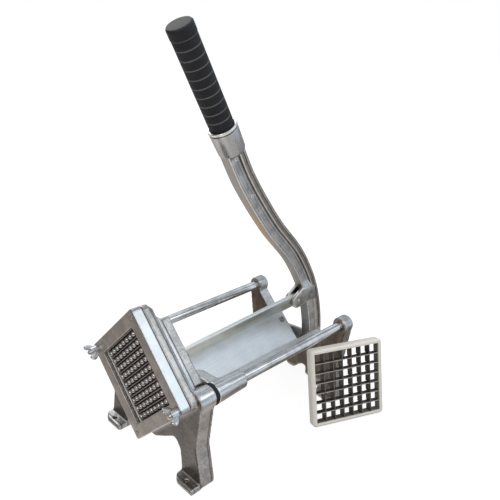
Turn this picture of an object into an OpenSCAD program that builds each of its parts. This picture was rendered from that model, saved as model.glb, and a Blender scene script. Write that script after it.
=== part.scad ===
// Lever-operated french fry cutter with a diamond-set blade head, two guide
// rods, a V trough and a spare blade cartridge leaning on the rear leg.
//
// Frame: origin on the bench, centred between the four foot screw holes.
// -Y is the side where the fries come out, +Z is up.

/* [Head] */
// Height of the centre of the cutting square above the guide rod axes
head_rise = 1.5; // [0:0.5:3]
// Side of the square opening that the potato is pushed through
opening_side = 90; // [84:1:92]
// Side of the square cover plate
cover_side = 122; // [119:1:126]
// Thickness of the cover plate
cover_t = 12; // [10:0.5:15]
// Corner radius of the cover plate
cover_corner_r = 4.5; // [1:0.5:6]
// Thickness of the casting flange behind the cover plate
flange_t = 9; // [8:0.5:12]
// Corner radius of the casting flange
flange_corner_r = 7; // [4:1:10]
// Depth of the stepped-in band behind the flange
band_t = 4; // [2:0.5:6]
// How far the band steps in from the flange on each side
band_step = 3; // [1:0.5:5]
// Distance of each locating pin from the head centre
dowel_reach = 75; // [74:0.5:77]
// Diameter of the locating pins
dowel_d = 5; // [3:0.5:5]

/* [Blade cartridges] */
// Outer side of a blade cartridge frame
cartridge_side = 100; // [98:0.5:102]
// Thickness of a blade cartridge
cartridge_t = 12.5; // [11:0.5:14]
// Corner radius of a blade cartridge frame
cartridge_corner_r = 4; // [2:0.5:8]
// Bevel along the front edges of a blade cartridge frame
cartridge_bevel = 2; // [1:0.5:3]
// Depth of the cartridge seat in the back of the cover plate
cover_seat = 6.5; // [4:0.5:7]
// Cells along each side of the installed cartridge
cells = 9; // [5:1:11]
// Cells along each side of the spare cartridge
spare_cells = 7; // [5:1:9]
// Thickness of a blade
blade_t = 0.9; // [0.6:0.1:1.2]
// Depth of the blades that run across
across_w = 8.2; // [7:0.2:9.6]
// Length of each blade end held in the cartridge frame
blade_hold = 3; // [2:0.5:3.5]

/* [Guide rods] */
// Diameter of the guide rods
rod_d = 12; // [10:0.5:14]
// Distance between the guide rod axes
rod_spacing = 154; // [152:1:160]
// Height of the guide rod axes
rod_h = 110; // [108:0.5:113]
// Diameter of the threaded stud turned on the front of each rod
stud_d = 6; // [5:0.5:6]
// Length of each stud in front of the cover plate
stud_out = 12; // [10:0.5:16]

/* [Castings] */
// Distance between the foot holes along X
foot_span_x = 143; // [140:1:150]
// Distance between the foot holes along Y
foot_span_y = 237.6; // [232:0.2:250]
// Depth of each foot tab in front of its leg
tab_depth = 13.7; // [12:0.1:17]
// Thickness of the foot tabs
tab_t = 7; // [5:0.5:9]
// Diameter of the foot screw holes
foot_hole_d = 4.5; // [4:0.5:7]
// Depth of the front legs along Y
front_leg_t = 20; // [17:0.5:22]
// Length of the front bosses measured from the leg face
front_boss_len = 22.5; // [21:0.5:26]
// Diameter of the front bosses
front_boss_d = 24.5; // [22:0.5:26]
// Thickness of the rear casting along Y
rear_t = 16.5; // [15:0.5:20]
// How far the rear bosses stand back from the front face of the rear casting
rear_boss_inset = 1; // [0.5:0.5:2]
// Diameter of the rear bosses
rear_boss_d = 22; // [20:0.5:24]
// Depth of the rod sockets in the rear bosses
rod_socket = 11; // [8:0.5:12]
// Width of each bracket ear that carries the lever
ear_t = 13; // [9:0.5:14]

/* [Pusher] */
// Side of the square pusher block
block_side = 86; // [80:1:88]
// Thickness of the plate that the pins stand on
block_plate_t = 4; // [3:0.5:6]
// Diameter of each pusher pin
pin_d = 6.4; // [5:0.2:7]
// Length of each pusher pin with its domed tip
pin_len = 29; // [26:0.5:30]
// Thickness of the carriage plate
carriage_t = 11; // [9:0.5:14]
// Distance from the front face of the flange to the pusher block
block_setback = 21; // [19:0.5:23]
// Length of each sliding sleeve
sleeve_len = 41.5; // [36:0.5:50]
// Diameter of the front end of each sleeve
sleeve_d = 25; // [23:0.5:27]
// Diameter of the rear end of each sleeve
sleeve_tail_d = 21; // [19:0.5:23]
// Wall of the bushings pressed into the sleeves
bushing_wall = 1.5; // [1:0.25:2]
// Thickness of the rubber bumper rings
bumper_t = 3.5; // [2.5:0.5:5]

/* [Trough] */
// Gap between the pusher block and the trough walls
trough_gap = 0.7; // [0.5:0.1:1.5]
// Thickness of the trough sheet
sheet_t = 1.2; // [0.8:0.1:1.5]
// Half width of the V at the top of its walls
trough_half_w = 32; // [30:0.5:33]
// Width of the flat lip along each wall
lip_w = 10; // [6:0.5:11]
// Height of the trough screws above the bottom of the V
trough_screw_rise = 25; // [20:0.5:26]
// Distance of the trough screws behind the front of the rear casting
trough_screw_back = 4; // [3.5:0.5:7]

/* [Lever] */
// Distance of the lever pivot behind the rear casting
pivot_back = 25.9; // [22:0.1:30]
// Height of the lever pivot
pivot_h = 27; // [24:0.5:30]
// Diameter of the lever pivot bolt
pivot_d = 10; // [8:0.5:12]
// Depth of the lever arm, front to back
arm_depth = 26; // [22:0.5:28]
// Thickness of the lever arm along X
arm_t = 15; // [12:0.5:16]
// Depth of the recess in each side of the arm
web_recess = 3.5; // [2:0.5:5]
// Distance of the rear link pin in front of the lever pivot
clevis_ahead = 43; // [42:0.5:44]
// Height of the rear link pin above the lever pivot
clevis_rise = 92; // [91:0.5:93]
// Width of the lever hub between the bracket ears
hub_w = 28; // [22:0.5:30]
// Diameter of the grip
grip_d = 28; // [26:0.5:32]
// Length of the grip with its end cap
grip_len = 118; // [100:1:140]
// Length of the grip end cap
cap_len = 16; // [10:0.5:18]
// Length of the cast collar below the grip
collar_len = 31; // [28:1:38]
// Diameter of the collar at its rim
collar_d = 34; // [32:0.5:36]
// Diameter of the steel core inside the grip
core_d = 19; // [16:0.5:22]

/* [Link] */
// Height of the link bar
link_depth = 16; // [14:0.5:18]
// Thickness of the link bar along X
link_t = 6; // [5:0.5:6]
// Diameter of the link pins
link_pin_d = 8; // [6:0.5:8]
// Distance from the carriage plate to the front link pin
link_lug_reach = 14; // [13:0.5:16]
// Width of the slots that the link ends sit in
link_slot = 7; // [7:0.5:9]
// Thickness of each clevis ear
clevis_ear_t = 4.5; // [3:0.5:6]

/* [Spare cartridge] */
// Distance of its lower front corner outside the guide rod axis
spare_out = 29.2; // [29:0.2:38]
// Gap kept between the spare cartridge and the guide rod above it
spare_rod_gap = 4; // [3:0.5:5]
// Position of its lower front corner along Y
spare_y = 56; // [50:0.2:64]
// Heading of its lower edge, turned from +X towards +Y
spare_turn = 67.1; // [60:0.1:75]
// Lean back from upright, in degrees
spare_lean = 14.5; // [12:0.1:18]

/* [Hidden] */
$fn = 48;

slide_fit = 0.05;          // radial clearance of running fits
seat_fit = 0.2;            // clearance of seated, bolted and dropped-in parts
screw_fit = 0.3;           // radial clearance of plain screw holes
ear_gap = 0.5;             // gap between the lever hub and each bracket ear
eps = 0.01;
arc_steps = 6;             // straight pieces along each rounded corner
root2 = sqrt(2);

head_h = rod_h + head_rise;

// stations along Y
front_leg_y = -foot_span_y / 2 + tab_depth / 2;
rear_leg_y = foot_span_y / 2 + tab_depth / 2;
flange_y = front_leg_y - flange_t;
cover_y = flange_y - cover_t;
band_end_y = front_leg_y + band_t;
front_leg_end_y = front_leg_y + front_leg_t;
front_boss_end_y = front_leg_y + front_boss_len;
cartridge_y = flange_y - cover_seat;
cartridge_end_y = cartridge_y + cartridge_t;
block_y = flange_y + block_setback;
carriage_y = block_y + block_plate_t;
carriage_end_y = carriage_y + carriage_t;
sleeve_y = front_boss_end_y + bumper_t;
sleeve_end_y = sleeve_y + sleeve_len;
rear_end_y = rear_leg_y + rear_t;
rear_boss_y = rear_leg_y + rear_boss_inset;
rod_end_y = rear_boss_y + rod_socket;
rod_shoulder_y = front_leg_y + band_t / 2;
link_front_y = carriage_end_y + link_lug_reach;
trough_y = band_end_y + 1;
trough_end_y = rear_leg_y + 11.5;
saddle_end_y = trough_end_y - 1.5;
pivot_y = rear_end_y + pivot_back;

rod_x = rod_spacing / 2;
foot_x = foot_span_x / 2;

// head and trough geometry
block_half = block_side / root2;
trough_v = head_h - block_half - trough_gap * root2;     // inner bottom of the V
trough_outer_v = trough_v - sheet_t * root2;
trough_top_h = trough_v + trough_half_w;
saddle_v = trough_outer_v - 0.1;

// boss, leg and apron outline values
leg_out_x = foot_x + 16.5;
leg_in_x = foot_x - 17.5;
leg_waist_h = 50;
front_waist_x = leg_out_x - 8.4;
rear_out_x = foot_x + 12.5;
rear_waist_x = rear_out_x - 5.5;
arm_fork_h = saddle_v - 11.9;    // the rear arms' inner edge rises at 45 degrees from this height

// lever geometry, as (Y, Z) points
clevis_y = pivot_y - clevis_ahead;
clevis_h = pivot_h + clevis_rise;
clevis_r = link_pin_d / 2 + 6.5;
hub_r = pivot_d / 2 + 10;
ear_r = hub_r + 2;
ear_top = 37.5;            // height of the ears above the pivot where they meet the casting
lever_knots = [
    [0, 0], [-5, 53], [-20, 105.5], [-51, 159.6], [-97, 213], [-139, 272], [-161.5, 313]
];
grip_start = [-177, 343.4];
grip_lean = 28;            // the grip leans forward from upright by this angle
grip_dir = [-sin(grip_lean), cos(grip_lean)];
groove_count = 9;
groove_first = 9;

// The spare's top edge reaches in under the guide rod. Where the rod is lower, the spare
// stands further out, at most until its top edge is beside the rod.
spare_top = cartridge_side * cos(spare_lean) + cartridge_t * sin(spare_lean);
spare_reach = (cartridge_side * sin(spare_lean) + cartridge_t * cos(spare_lean)) * sin(spare_turn);
spare_sink = max(0, spare_top + spare_rod_gap + rod_d / 2 - rod_h);
spare_beside = max(0, spare_reach + rod_d / 2 + spare_rod_gap - spare_out);
spare_x = rod_x + spare_out + min(spare_beside, spare_sink / (tan(spare_lean) * sin(spare_turn)));
body_len = grip_len - cap_len;

// ---------------------------------------------------------------- helpers

// points of an outline with each corner rounded by its own radius
function corner_arc(a, b, c, r) =
    let (u = (a - b) / norm(a - b), v = (c - b) / norm(c - b),
         half = acos(max(-1, min(1, u * v))) / 2)
    r <= 0 || half > 89.5 ? [b] :
    let (reach = min(r / tan(half), 0.48 * min(norm(a - b), norm(c - b))),
         r_used = reach * tan(half),
         centre = b + (u + v) / norm(u + v) * (r_used / sin(half)),
         p0 = b + u * reach, p1 = b + v * reach,
         a0 = atan2(p0[1] - centre[1], p0[0] - centre[0]),
         a1_raw = atan2(p1[1] - centre[1], p1[0] - centre[0]),
         turn = a1_raw - a0 > 180 ? a1_raw - a0 - 360 :
                a1_raw - a0 < -180 ? a1_raw - a0 + 360 : a1_raw - a0)
    [for (i = [0:arc_steps]) centre + r_used * [cos(a0 + turn * i / arc_steps), sin(a0 + turn * i / arc_steps)]];
function rounded(pts, radii) =
    let (n = len(pts))
    [for (i = [0:n - 1]) each corner_arc(pts[(i + n - 1) % n], pts[i], pts[(i + 1) % n], radii[i])];
function square_outline(side, r) =
    let (h = side / 2) rounded([[-h, -h], [h, -h], [h, h], [-h, h]], [r, r, r, r]);
function mirrored(right) =
    concat(right, [for (i = [len(right) - 1:-1:0]) if (abs(right[i][0]) > eps) [-right[i][0], right[i][1]]]);

// extrudes an XZ outline from y0 to y1
module along_y(y0, y1) {
    translate([0, y1, 0]) rotate([90, 0, 0]) linear_extrude(y1 - y0) children();
}
// extrudes a YZ outline across X, centred on x = 0
module across_x(width) {
    rotate([90, 0, 90]) linear_extrude(width, center = true) children();
}
// a cylinder along Y
module rod_y(x, z, y0, y1, r, r_end = undef) {
    translate([x, y1, z]) rotate([90, 0, 0])
        cylinder(h = y1 - y0, r1 = is_undef(r_end) ? r : r_end, r2 = r);
}
// a cylinder along X, centred on x
module rod_x_at(x, y, z, len, r) {
    translate([x, y, z]) rotate([0, 90, 0]) cylinder(h = len, r = r, center = true);
}
// the cutting square's own frame: turned 45 degrees about its centre
module head_frame() {
    translate([0, 0, head_h]) rotate([0, 45, 0]) children();
}
module head_plate(side, r, y0, y1) {
    head_frame() along_y(y0, y1) polygon(square_outline(side, r));
}
module both_sides() {
    children();
    mirror([1, 0, 0]) children();
}

// ---------------------------------------------------------------- castings

// a foot tab in front of a leg, its left corner swept back, its screw hole left to the casting
module foot_tab(left_x, right_x, leg_y) {
    linear_extrude(tab_t) polygon(rounded(
        [[left_x, leg_y + eps], [left_x, leg_y - tab_depth * 0.5],
         [left_x + tab_depth * 0.5, leg_y - tab_depth * 0.92],
         [left_x + tab_depth, leg_y - tab_depth],
         [right_x, leg_y - tab_depth], [right_x, leg_y + eps]],
        [0, 4, 5, 8, 1.5, 0]));
}
module foot_tabs(leg_y, out_x) {
    foot_tab(leg_in_x, out_x, leg_y);
    foot_tab(-out_x, -leg_in_x, leg_y);
}
module foot_hole(leg_y) {
    translate([foot_x, leg_y - tab_depth / 2, -eps]) cylinder(h = tab_t + 2 * eps, d = foot_hole_d);
}
module front_apron() {
    window_v = saddle_v;
    right = [
        [0, window_v - 28.4], [24, window_v - 14.2], [leg_in_x - 11, window_v - 1.9], [leg_in_x - 2, 34], [leg_in_x, 12], [leg_in_x, 0],
        [leg_out_x - 0.5, 0], [leg_out_x - 0.5, 6], [front_waist_x, leg_waist_h],
        [leg_out_x, rod_h], [rod_h - window_v, rod_h], [0, window_v]
    ];
    outline = mirrored([for (i = [0:len(right) - 2]) right[i]]);
    radii_right = [14, 0, 7, 10, 0, 0, 0, 8, 12, 0, 0];
    top_right = len(right) - 1;
    radii = concat(radii_right, [for (i = [len(radii_right) - 1:-1:1]) radii_right[i]]);
    // the outline closes through the bottom of the window's V
    with_v = concat([for (i = [0:top_right - 1]) outline[i]], [[0, window_v]],
                    [for (i = [top_right:len(outline) - 1]) outline[i]]);
    radii_v = concat([for (i = [0:top_right - 1]) radii[i]], [0],
                     [for (i = [top_right:len(radii) - 1]) radii[i]]);
    along_y(front_leg_y, front_leg_end_y) polygon(rounded(with_v, radii_v));
}
module front_casting() {
    color("#b4b2b0") difference() {
        union() {
            head_plate(cover_side, flange_corner_r, flange_y, front_leg_y);
            head_plate(cover_side - 2 * band_step, flange_corner_r, front_leg_y - eps, band_end_y);
            difference() {
                front_apron();
                head_plate(block_side + 4, 1, band_end_y, front_leg_end_y + 1);
            }
            both_sides() rod_y(rod_x, rod_h, front_leg_y, front_boss_end_y, front_boss_d / 2);
            foot_tabs(front_leg_y, leg_out_x);
        }
        head_plate(opening_side, 0, flange_y - 1, band_end_y + eps);
        head_plate(cartridge_side + 2 * seat_fit, cartridge_corner_r, flange_y - 1,
                   cartridge_end_y);
        both_sides() {
            rod_y(rod_x, rod_h, rod_shoulder_y, front_boss_end_y + 1, rod_d / 2 + slide_fit);
            rod_y(rod_x, rod_h, flange_y - 1, rod_shoulder_y + eps, stud_d / 2 + slide_fit);
            foot_hole(front_leg_y);
        }
        for (side = [-1, 1])
            rod_y(0, head_h + side * dowel_reach, flange_y - 1, flange_y + dowel_depth, dowel_d / 2);
    }
}
dowel_depth = flange_t - 2;

arm_top_x = rod_x - rear_boss_d / 2 + 4;
module rear_plate() {
    right = [
        [6, 12], [13, 20], [21, 25], [27, 24], [27, 12], [leg_in_x - 18, 11], [leg_in_x, 0],
        [rear_out_x, 0], [rear_out_x, 4], [rear_waist_x, leg_waist_h],
        [rod_x + rear_boss_d / 2 - 0.5, rod_h], [rod_x - rear_boss_d / 2 + 1, rod_h],
        [arm_top_x, arm_top_x + arm_fork_h]
    ];
    radii_right = [3, 4, 4, 5, 2, 6, 8, 0, 0, 10, 0, 0, 0];
    outline = concat(right, [[0, arm_fork_h]], [for (i = [len(right) - 1:-1:0]) [-right[i][0], right[i][1]]]);
    radii = concat(radii_right, [6], [for (i = [len(radii_right) - 1:-1:0]) radii_right[i]]);
    along_y(rear_leg_y, rear_end_y) polygon(rounded(outline, radii));
}
// the raised V under the back end of the trough
module trough_saddle() {
    saddle_x = trough_half_w - 1;
    along_y(rear_leg_y, saddle_end_y) polygon([
        [0, saddle_v], [saddle_x, saddle_v + saddle_x], [saddle_x + 6, saddle_v + saddle_x - 4],
        [saddle_x + 6, saddle_x + arm_fork_h], [0, arm_fork_h - 6],
        [-saddle_x - 6, saddle_x + arm_fork_h], [-saddle_x - 6, saddle_v + saddle_x - 4],
        [-saddle_x, saddle_v + saddle_x]
    ]);
}
// the two ears behind the rear casting that hold the lever pivot
module lever_ears() {
    ear_x = hub_w / 2 + ear_gap + ear_t / 2;
    tangent = atan2(ear_top, -pivot_back) - acos(ear_r / norm([pivot_back, ear_top]));
    for (side = [-1, 1]) translate([side * ear_x, 0, 0]) {
        across_x(ear_t) polygon([
            [rear_end_y - 1, pivot_h - ear_r + 5], [rear_end_y - 1, pivot_h + ear_top],
            [rear_end_y, pivot_h + ear_top],
            [pivot_y + ear_r * cos(tangent), pivot_h + ear_r * sin(tangent)], [pivot_y, pivot_h - ear_r]
        ]);
        rod_x_at(0, pivot_y, pivot_h, ear_t, ear_r);
    }
}
module trough_screw_at(side) {
    // the screw axis is square to the trough wall
    translate([side * trough_screw_rise, rear_leg_y + trough_screw_back, trough_v + trough_screw_rise])
        rotate([0, side * -45, 0]) children();
}
module rear_casting() {
    color("#b0aeac") difference() {
        union() {
            rear_plate();
            trough_saddle();
            lever_ears();
            both_sides() rod_y(rod_x, rod_h, rear_boss_y, rear_end_y, rear_boss_d / 2);
            foot_tabs(rear_leg_y, rear_out_x);
        }
        both_sides() {
            rod_y(rod_x, rod_h, rear_boss_y - 2, rod_end_y, rod_d / 2 + slide_fit);
            rod_y(rod_x, rod_h, rod_end_y - eps, rear_end_y + 1, end_screw_d / 2 + screw_fit);
            foot_hole(rear_leg_y);
        }
        rod_x_at(0, pivot_y, pivot_h, 2 * (hub_w + 2 * ear_t), pivot_d / 2 + slide_fit);
        for (side = [-1, 1]) trough_screw_at(side)
            translate([0, 0, -trough_screw_len]) cylinder(h = trough_screw_len, d = trough_screw_d);
    }
}

// ---------------------------------------------------------------- guide rods

end_screw_d = 5;
end_screw_len = 16;
end_screw_y = rear_end_y + 1.2;

module guide_rod(side) {
    difference() {
        union() {
            rod_y(side * rod_x, rod_h, rod_shoulder_y, rod_end_y, rod_d / 2);
            rod_y(side * rod_x, rod_h, cover_y - stud_out, rod_shoulder_y + eps, stud_d / 2);
        }
        rod_y(side * rod_x, rod_h, end_screw_y - end_screw_len - 1, rod_end_y + 1,
              end_screw_d / 2);
    }
}
module guide_rod_left() {
    color("#c9cbd0") guide_rod(-1);
}
module guide_rod_right() {
    color("#c9cbd0") guide_rod(1);
}
module rod_end_screws() {
    color("#9a9a9c") both_sides() {
        rod_y(rod_x, rod_h, end_screw_y - end_screw_len, end_screw_y + eps, end_screw_d / 2);
        rod_y(rod_x, rod_h, rear_end_y, end_screw_y, 6);
        translate([rod_x, end_screw_y + 4, rod_h]) rotate([90, 0, 0]) cylinder(h = 4, r = 4.6, $fn = 6);
    }
}
module bumper_rings() {
    color("#1b1b1c") both_sides() difference() {
        rod_y(rod_x, rod_h, front_boss_end_y, sleeve_y - seat_fit, front_boss_d / 2 + 0.4);
        rod_y(rod_x, rod_h, front_boss_end_y - 1, sleeve_y + 1, rod_d / 2 + slide_fit);
    }
}

// ---------------------------------------------------------------- trough

trough_screw_d = 4;
trough_screw_len = 9;

module trough() {
    outer_x = trough_half_w + sheet_t * (root2 - 1);
    lip_x = trough_half_w + lip_w;
    right = [
        [trough_half_w, trough_top_h], [lip_x, trough_top_h], [lip_x, trough_top_h - sheet_t],
        [outer_x, trough_top_h - sheet_t]
    ];
    outline = concat([[0, trough_v]], right, [[0, trough_outer_v]],
                     [for (i = [len(right) - 1:-1:0]) [-right[i][0], right[i][1]]]);
    color("#c8ccd2") difference() {
        along_y(trough_y, trough_end_y) polygon(outline);
        // the lips end behind the shoulders of the front casting
        both_sides() translate([outer_x, trough_y - 1, trough_top_h - sheet_t - eps])
            cube([lip_w + 1, front_leg_end_y + seat_fit - trough_y + 1, sheet_t + 1]);
        for (side = [-1, 1]) trough_screw_at(side)
            cylinder(h = 6, d = trough_screw_d + 2 * slide_fit, center = true);
    }
}
module trough_screws() {
    color("#a8a8aa") for (side = [-1, 1]) trough_screw_at(side) {
        translate([0, 0, -trough_screw_len + 0.5]) cylinder(h = trough_screw_len - 0.5 + eps, d = trough_screw_d);
        difference() {
            cylinder(h = 2.2, r1 = 4.4, r2 = 3.4);
            translate([-4, -0.5, 1.3]) cube([8, 1, 2]);
        }
    }
}

// ---------------------------------------------------------------- cover and nuts

module locating_pins() {
    color("#8f8f92") for (side = [-1, 1]) {
        rod_y(0, head_h + side * dowel_reach, cover_y, flange_y + dowel_depth, dowel_d / 2);
        translate([0, cover_y, head_h + side * dowel_reach]) scale(dowel_d / 5)
            rotate([90, 0, 0]) cylinder(h = 0.8, r1 = 2.5, r2 = 1.4);
    }
}
module cover_plate() {
    color("#bdbdbf") difference() {
        head_plate(cover_side, cover_corner_r, cover_y, flange_y);
        head_plate(opening_side, 0, cover_y - 1, flange_y + 1);
        head_plate(cartridge_side + 2 * seat_fit, cartridge_corner_r, cartridge_y, flange_y + 1);
        both_sides() rod_y(rod_x, rod_h, cover_y - 1, flange_y + 1, stud_d / 2 + screw_fit);
        for (side = [-1, 1])
            rod_y(0, head_h + side * dowel_reach, cover_y - 1, flange_y + 1, dowel_d / 2 + slide_fit);
    }
}
washer_t = 1;
module wing_nut_washers() {
    color("#a9a9ab") both_sides() difference() {
        rod_y(rod_x, rod_h, cover_y - washer_t, cover_y, stud_d / 2 + 3);
        rod_y(rod_x, rod_h, cover_y - washer_t - 1, cover_y + 1, stud_d / 2 + screw_fit);
    }
}
wing_tilt = 18;
hub_len = 8;
// a wing nut on the stud, its two wings swept forward
module wing_nut(side) {
    nut_y = cover_y - washer_t;
    wing = rounded([[2.5, 1.5], [8, 4.5], [12.5, 9.5], [10, 14], [5, 9], [2.5, 6.5]], [0, 4, 2.4, 2.4, 4, 0]);
    difference() {
        union() {
            rod_y(side * rod_x, rod_h, nut_y - hub_len, nut_y, stud_d / 2 + 1.6, stud_d / 2 + 2.6);
            translate([side * rod_x, nut_y, rod_h]) rotate([0, wing_tilt, 0]) both_sides()
                rotate([180, 0, 0]) linear_extrude(2.6, center = true) polygon(wing);
        }
        rod_y(side * rod_x, rod_h, nut_y - hub_len - 8, nut_y + 1, stud_d / 2 + slide_fit);
    }
}
module wing_nut_left() {
    color("#b9b9bb") wing_nut(-1);
}
module wing_nut_right() {
    color("#b9b9bb") wing_nut(1);
}

// ---------------------------------------------------------------- blade cartridges

// In a cartridge's own frame its square lies in XZ, centred, and its
// thickness runs from y = 0 at the front to y = cartridge_t at the back.
blade_len = opening_side + 2 * blade_hold;
edge_set = 0.6;            // how far the blade edges lie inside the frame's faces
down_w = cartridge_t - 2 * edge_set;
function blade_places(n) = [for (i = [1:n - 1]) opening_side * (i / n - 0.5)];

module blade_strip(place, depth, grow) {
    translate([-blade_len / 2 - grow, edge_set - grow, place - blade_t / 2 - grow])
        cube([blade_len + 2 * grow, depth + 2 * grow, blade_t + 2 * grow]);
}
// one set of parallel blades: across runs along X, otherwise along Z
module blade_set(n, across, grow = 0) {
    rotate([0, across ? 0 : 90, 0]) for (place = blade_places(n))
        blade_strip(place, across ? across_w : down_w, grow);
}
// the two sets cross in notches half as deep as the across blades: those are
// cut from the front, and the down blades from the back
module notched_blades(n, across) {
    notch_y = edge_set + (across ? -1 : across_w / 2 - slide_fit);
    notch_depth = across ? across_w / 2 + slide_fit + 1 : down_w;
    difference() {
        blade_set(n, across);
        intersection() {
            rotate([0, across ? 90 : 0, 0]) for (place = blade_places(n))
                blade_strip(place, down_w, slide_fit);
            translate([-opening_side, notch_y, -opening_side])
                cube([2 * opening_side, notch_depth, 2 * opening_side]);
        }
    }
}
module cartridge_frame(n) {
    half = cartridge_side / 2;
    difference() {
        along_y(0, cartridge_t) polygon(square_outline(cartridge_side, cartridge_corner_r));
        along_y(-1, cartridge_t + 1) polygon(square_outline(opening_side, 0));
        blade_set(n, false, slide_fit);
        blade_set(n, true, slide_fit);
        for (turn = [0:90:270]) rotate([0, turn, 0]) across_x(cartridge_side + 2) polygon([
            [-1, half - cartridge_bevel - 1], [cartridge_bevel + 1, half + 1], [-1, half + 1]
        ]);
    }
}
module installed() {
    head_frame() translate([0, cartridge_y, 0]) children();
}
module blade_frame() {
    color("#d9d6cc") installed() cartridge_frame(cells);
}
module blades_down() {
    color("#6f6f74") installed() notched_blades(cells, false);
}
module blades_across() {
    color("#5f5f64") installed() notched_blades(cells, true);
}
// the spare stands on its lower back edge and leans on the rear leg
module leaning() {
    translate([spare_x, spare_y, cartridge_t * sin(spare_lean)]) rotate([0, 0, spare_turn])
        rotate([-spare_lean, 0, 0]) translate([cartridge_side / 2, 0, cartridge_side / 2]) children();
}
module spare_frame() {
    color("#e6e2d6") leaning() cartridge_frame(spare_cells);
}
module spare_blades_across() {
    color("#6f6f74") leaning() notched_blades(spare_cells, true);
}
module spare_blades_down() {
    color("#5f5f64") leaning() notched_blades(spare_cells, false);
}

// ---------------------------------------------------------------- pusher

pin_pitch = opening_side / cells;
module push_block() {
    dome = pin_d / 2;
    color("#8b8b8e") {
        head_plate(block_side, 1, block_y, carriage_y);
        head_frame() for (i = [0:cells - 1], j = [0:cells - 1])
            translate([(i - (cells - 1) / 2) * pin_pitch, 0, (j - (cells - 1) / 2) * pin_pitch]) {
                rod_y(0, 0, block_y - pin_len + dome, block_y + eps, pin_d / 2);
                translate([0, block_y - pin_len + dome, 0]) sphere(r = dome, $fn = 24);
            }
    }
}
lug_r = 9;
// the arm that joins the carriage plate to a sleeve: two slabs seen from above,
// the shallower one reaching further back
module carriage_arm() {
    root_x = block_half - 26.8;
    for (slab = [[8.5, 0], [6, 2.5]]) {
        tail = sleeve_len * 0.35 + slab[1];
        outline = rounded([
            [root_x, carriage_end_y - 1], [block_half - 5, carriage_end_y - 1], [block_half - 2, sleeve_y],
            [rod_x, sleeve_y], [rod_x, sleeve_y + tail + 8],
            [rod_x - sleeve_d / 2 + 2, sleeve_y + tail], [root_x + 11, carriage_end_y + tail - 3],
            [root_x, carriage_end_y + slab[1]]
        ], [0, 0, 0, 0, 0, 8, 10, 0]);
        translate([0, 0, rod_h - slab[0]]) linear_extrude(2 * slab[0]) polygon(outline);
    }
}
module pusher_carriage() {
    link_lug_x = link_slot / 2 + clevis_ear_t / 2;
    color("#b7b6b5") difference() {
        union() {
            head_plate(block_side, 4, carriage_y, carriage_end_y);
            both_sides() {
                rod_y(rod_x, rod_h, sleeve_y, sleeve_end_y, sleeve_d / 2, sleeve_tail_d / 2);
                carriage_arm();
                translate([link_lug_x, 0, 0]) {
                    rod_x_at(0, link_front_y, head_h, clevis_ear_t, lug_r);
                    translate([-clevis_ear_t / 2, carriage_end_y - 1, head_h - lug_r])
                        cube([clevis_ear_t, link_lug_reach + 1, 2 * lug_r]);
                }
            }
        }
        both_sides()
            rod_y(rod_x, rod_h, carriage_y, sleeve_end_y + 1, rod_d / 2 + slide_fit + bushing_wall);
        rod_x_at(0, link_front_y, head_h, 40, link_pin_d / 2 + slide_fit);
        block_screw_places() rod_y(0, 0, carriage_y - 1, carriage_end_y + 1, block_screw_d / 2 + screw_fit);
    }
}
module sleeve_bushings() {
    color("#9c8350") both_sides() difference() {
        rod_y(rod_x, rod_h, sleeve_y, sleeve_end_y, rod_d / 2 + slide_fit + bushing_wall - 0.02);
        rod_y(rod_x, rod_h, sleeve_y - 1, sleeve_end_y + 1, rod_d / 2 + slide_fit);
    }
}
block_screw_d = 5;
module block_screw_places() {
    head_frame() for (turn = [0:90:270]) rotate([0, turn, 0])
        translate([block_side / 2 - 11, 0, 0]) children();
}
module block_screws() {
    color("#9a9a9c") block_screw_places() {
        rod_y(0, 0, carriage_y, carriage_end_y + eps, block_screw_d / 2);
        difference() {
            rod_y(0, 0, carriage_end_y, carriage_end_y + 3.5, 4.2);
            translate([0, carriage_end_y + 4, 0]) rotate([90, 0, 0]) cylinder(h = 2.2, r = 2, $fn = 6);
        }
    }
}
// the front link pin is held in the two carriage lugs, clear of the link bar
module carriage_link_pins() {
    head_len = 1.5;
    color("#a0a0a2") both_sides() {
        inner = link_slot / 2;
        outer = inner + clevis_ear_t;
        rod_x_at((inner + outer) / 2 + 0.2, link_front_y, head_h, clevis_ear_t - 0.4, link_pin_d / 2);
        rod_x_at(outer + head_len / 2, link_front_y, head_h, head_len + eps, link_pin_d / 2 + 1.2);
    }
}

// ---------------------------------------------------------------- link and lever

module link_bar() {
    color("#b5b7ba") difference() {
        union() {
            across_x(link_t) polygon([for (p = link_edge_points()) p]);
            rod_x_at(0, link_front_y, head_h, link_t, link_depth / 2);
            rod_x_at(0, clevis_y, clevis_h, link_t, link_depth / 2);
        }
        rod_x_at(0, link_front_y, head_h, link_t + 2, link_pin_d / 2 + slide_fit);
        rod_x_at(0, clevis_y, clevis_h, link_t + 2, link_pin_d / 2 + slide_fit);
    }
}
function link_edge_points() =
    let (a = [link_front_y, head_h], b = [clevis_y, clevis_h], u = (b - a) / norm(b - a),
         n = [-u[1], u[0]] * link_depth / 2)
    [a - n, b - n, b + n, a + n];

// Catmull-Rom curve through the lever knots, in (Y, Z)
function knot(i) =
    i < 0 ? 2 * lever_knots[0] - lever_knots[1] :
    i >= len(lever_knots) ? grip_start : lever_knots[i];
function spline(i, t) =
    let (a = knot(i - 1), b = knot(i), c = knot(i + 1), d = knot(i + 2))
    0.5 * (2 * b + (c - a) * t + (2 * a - 5 * b + 4 * c - d) * t * t + (3 * b - a - 3 * c + d) * t * t * t);
spline_steps = 5;
arm_line = [
    for (i = [0:len(lever_knots) - 1], k = [0:spline_steps - 1])
        [pivot_y, pivot_h] + spline(i, k / spline_steps),
    [pivot_y, pivot_h] + grip_start
];
function line_normal(pts, i) =
    let (a = pts[max(0, i - 1)], b = pts[min(len(pts) - 1, i + 1)], u = (b - a) / norm(b - a))
    [u[1], -u[0]];
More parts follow.
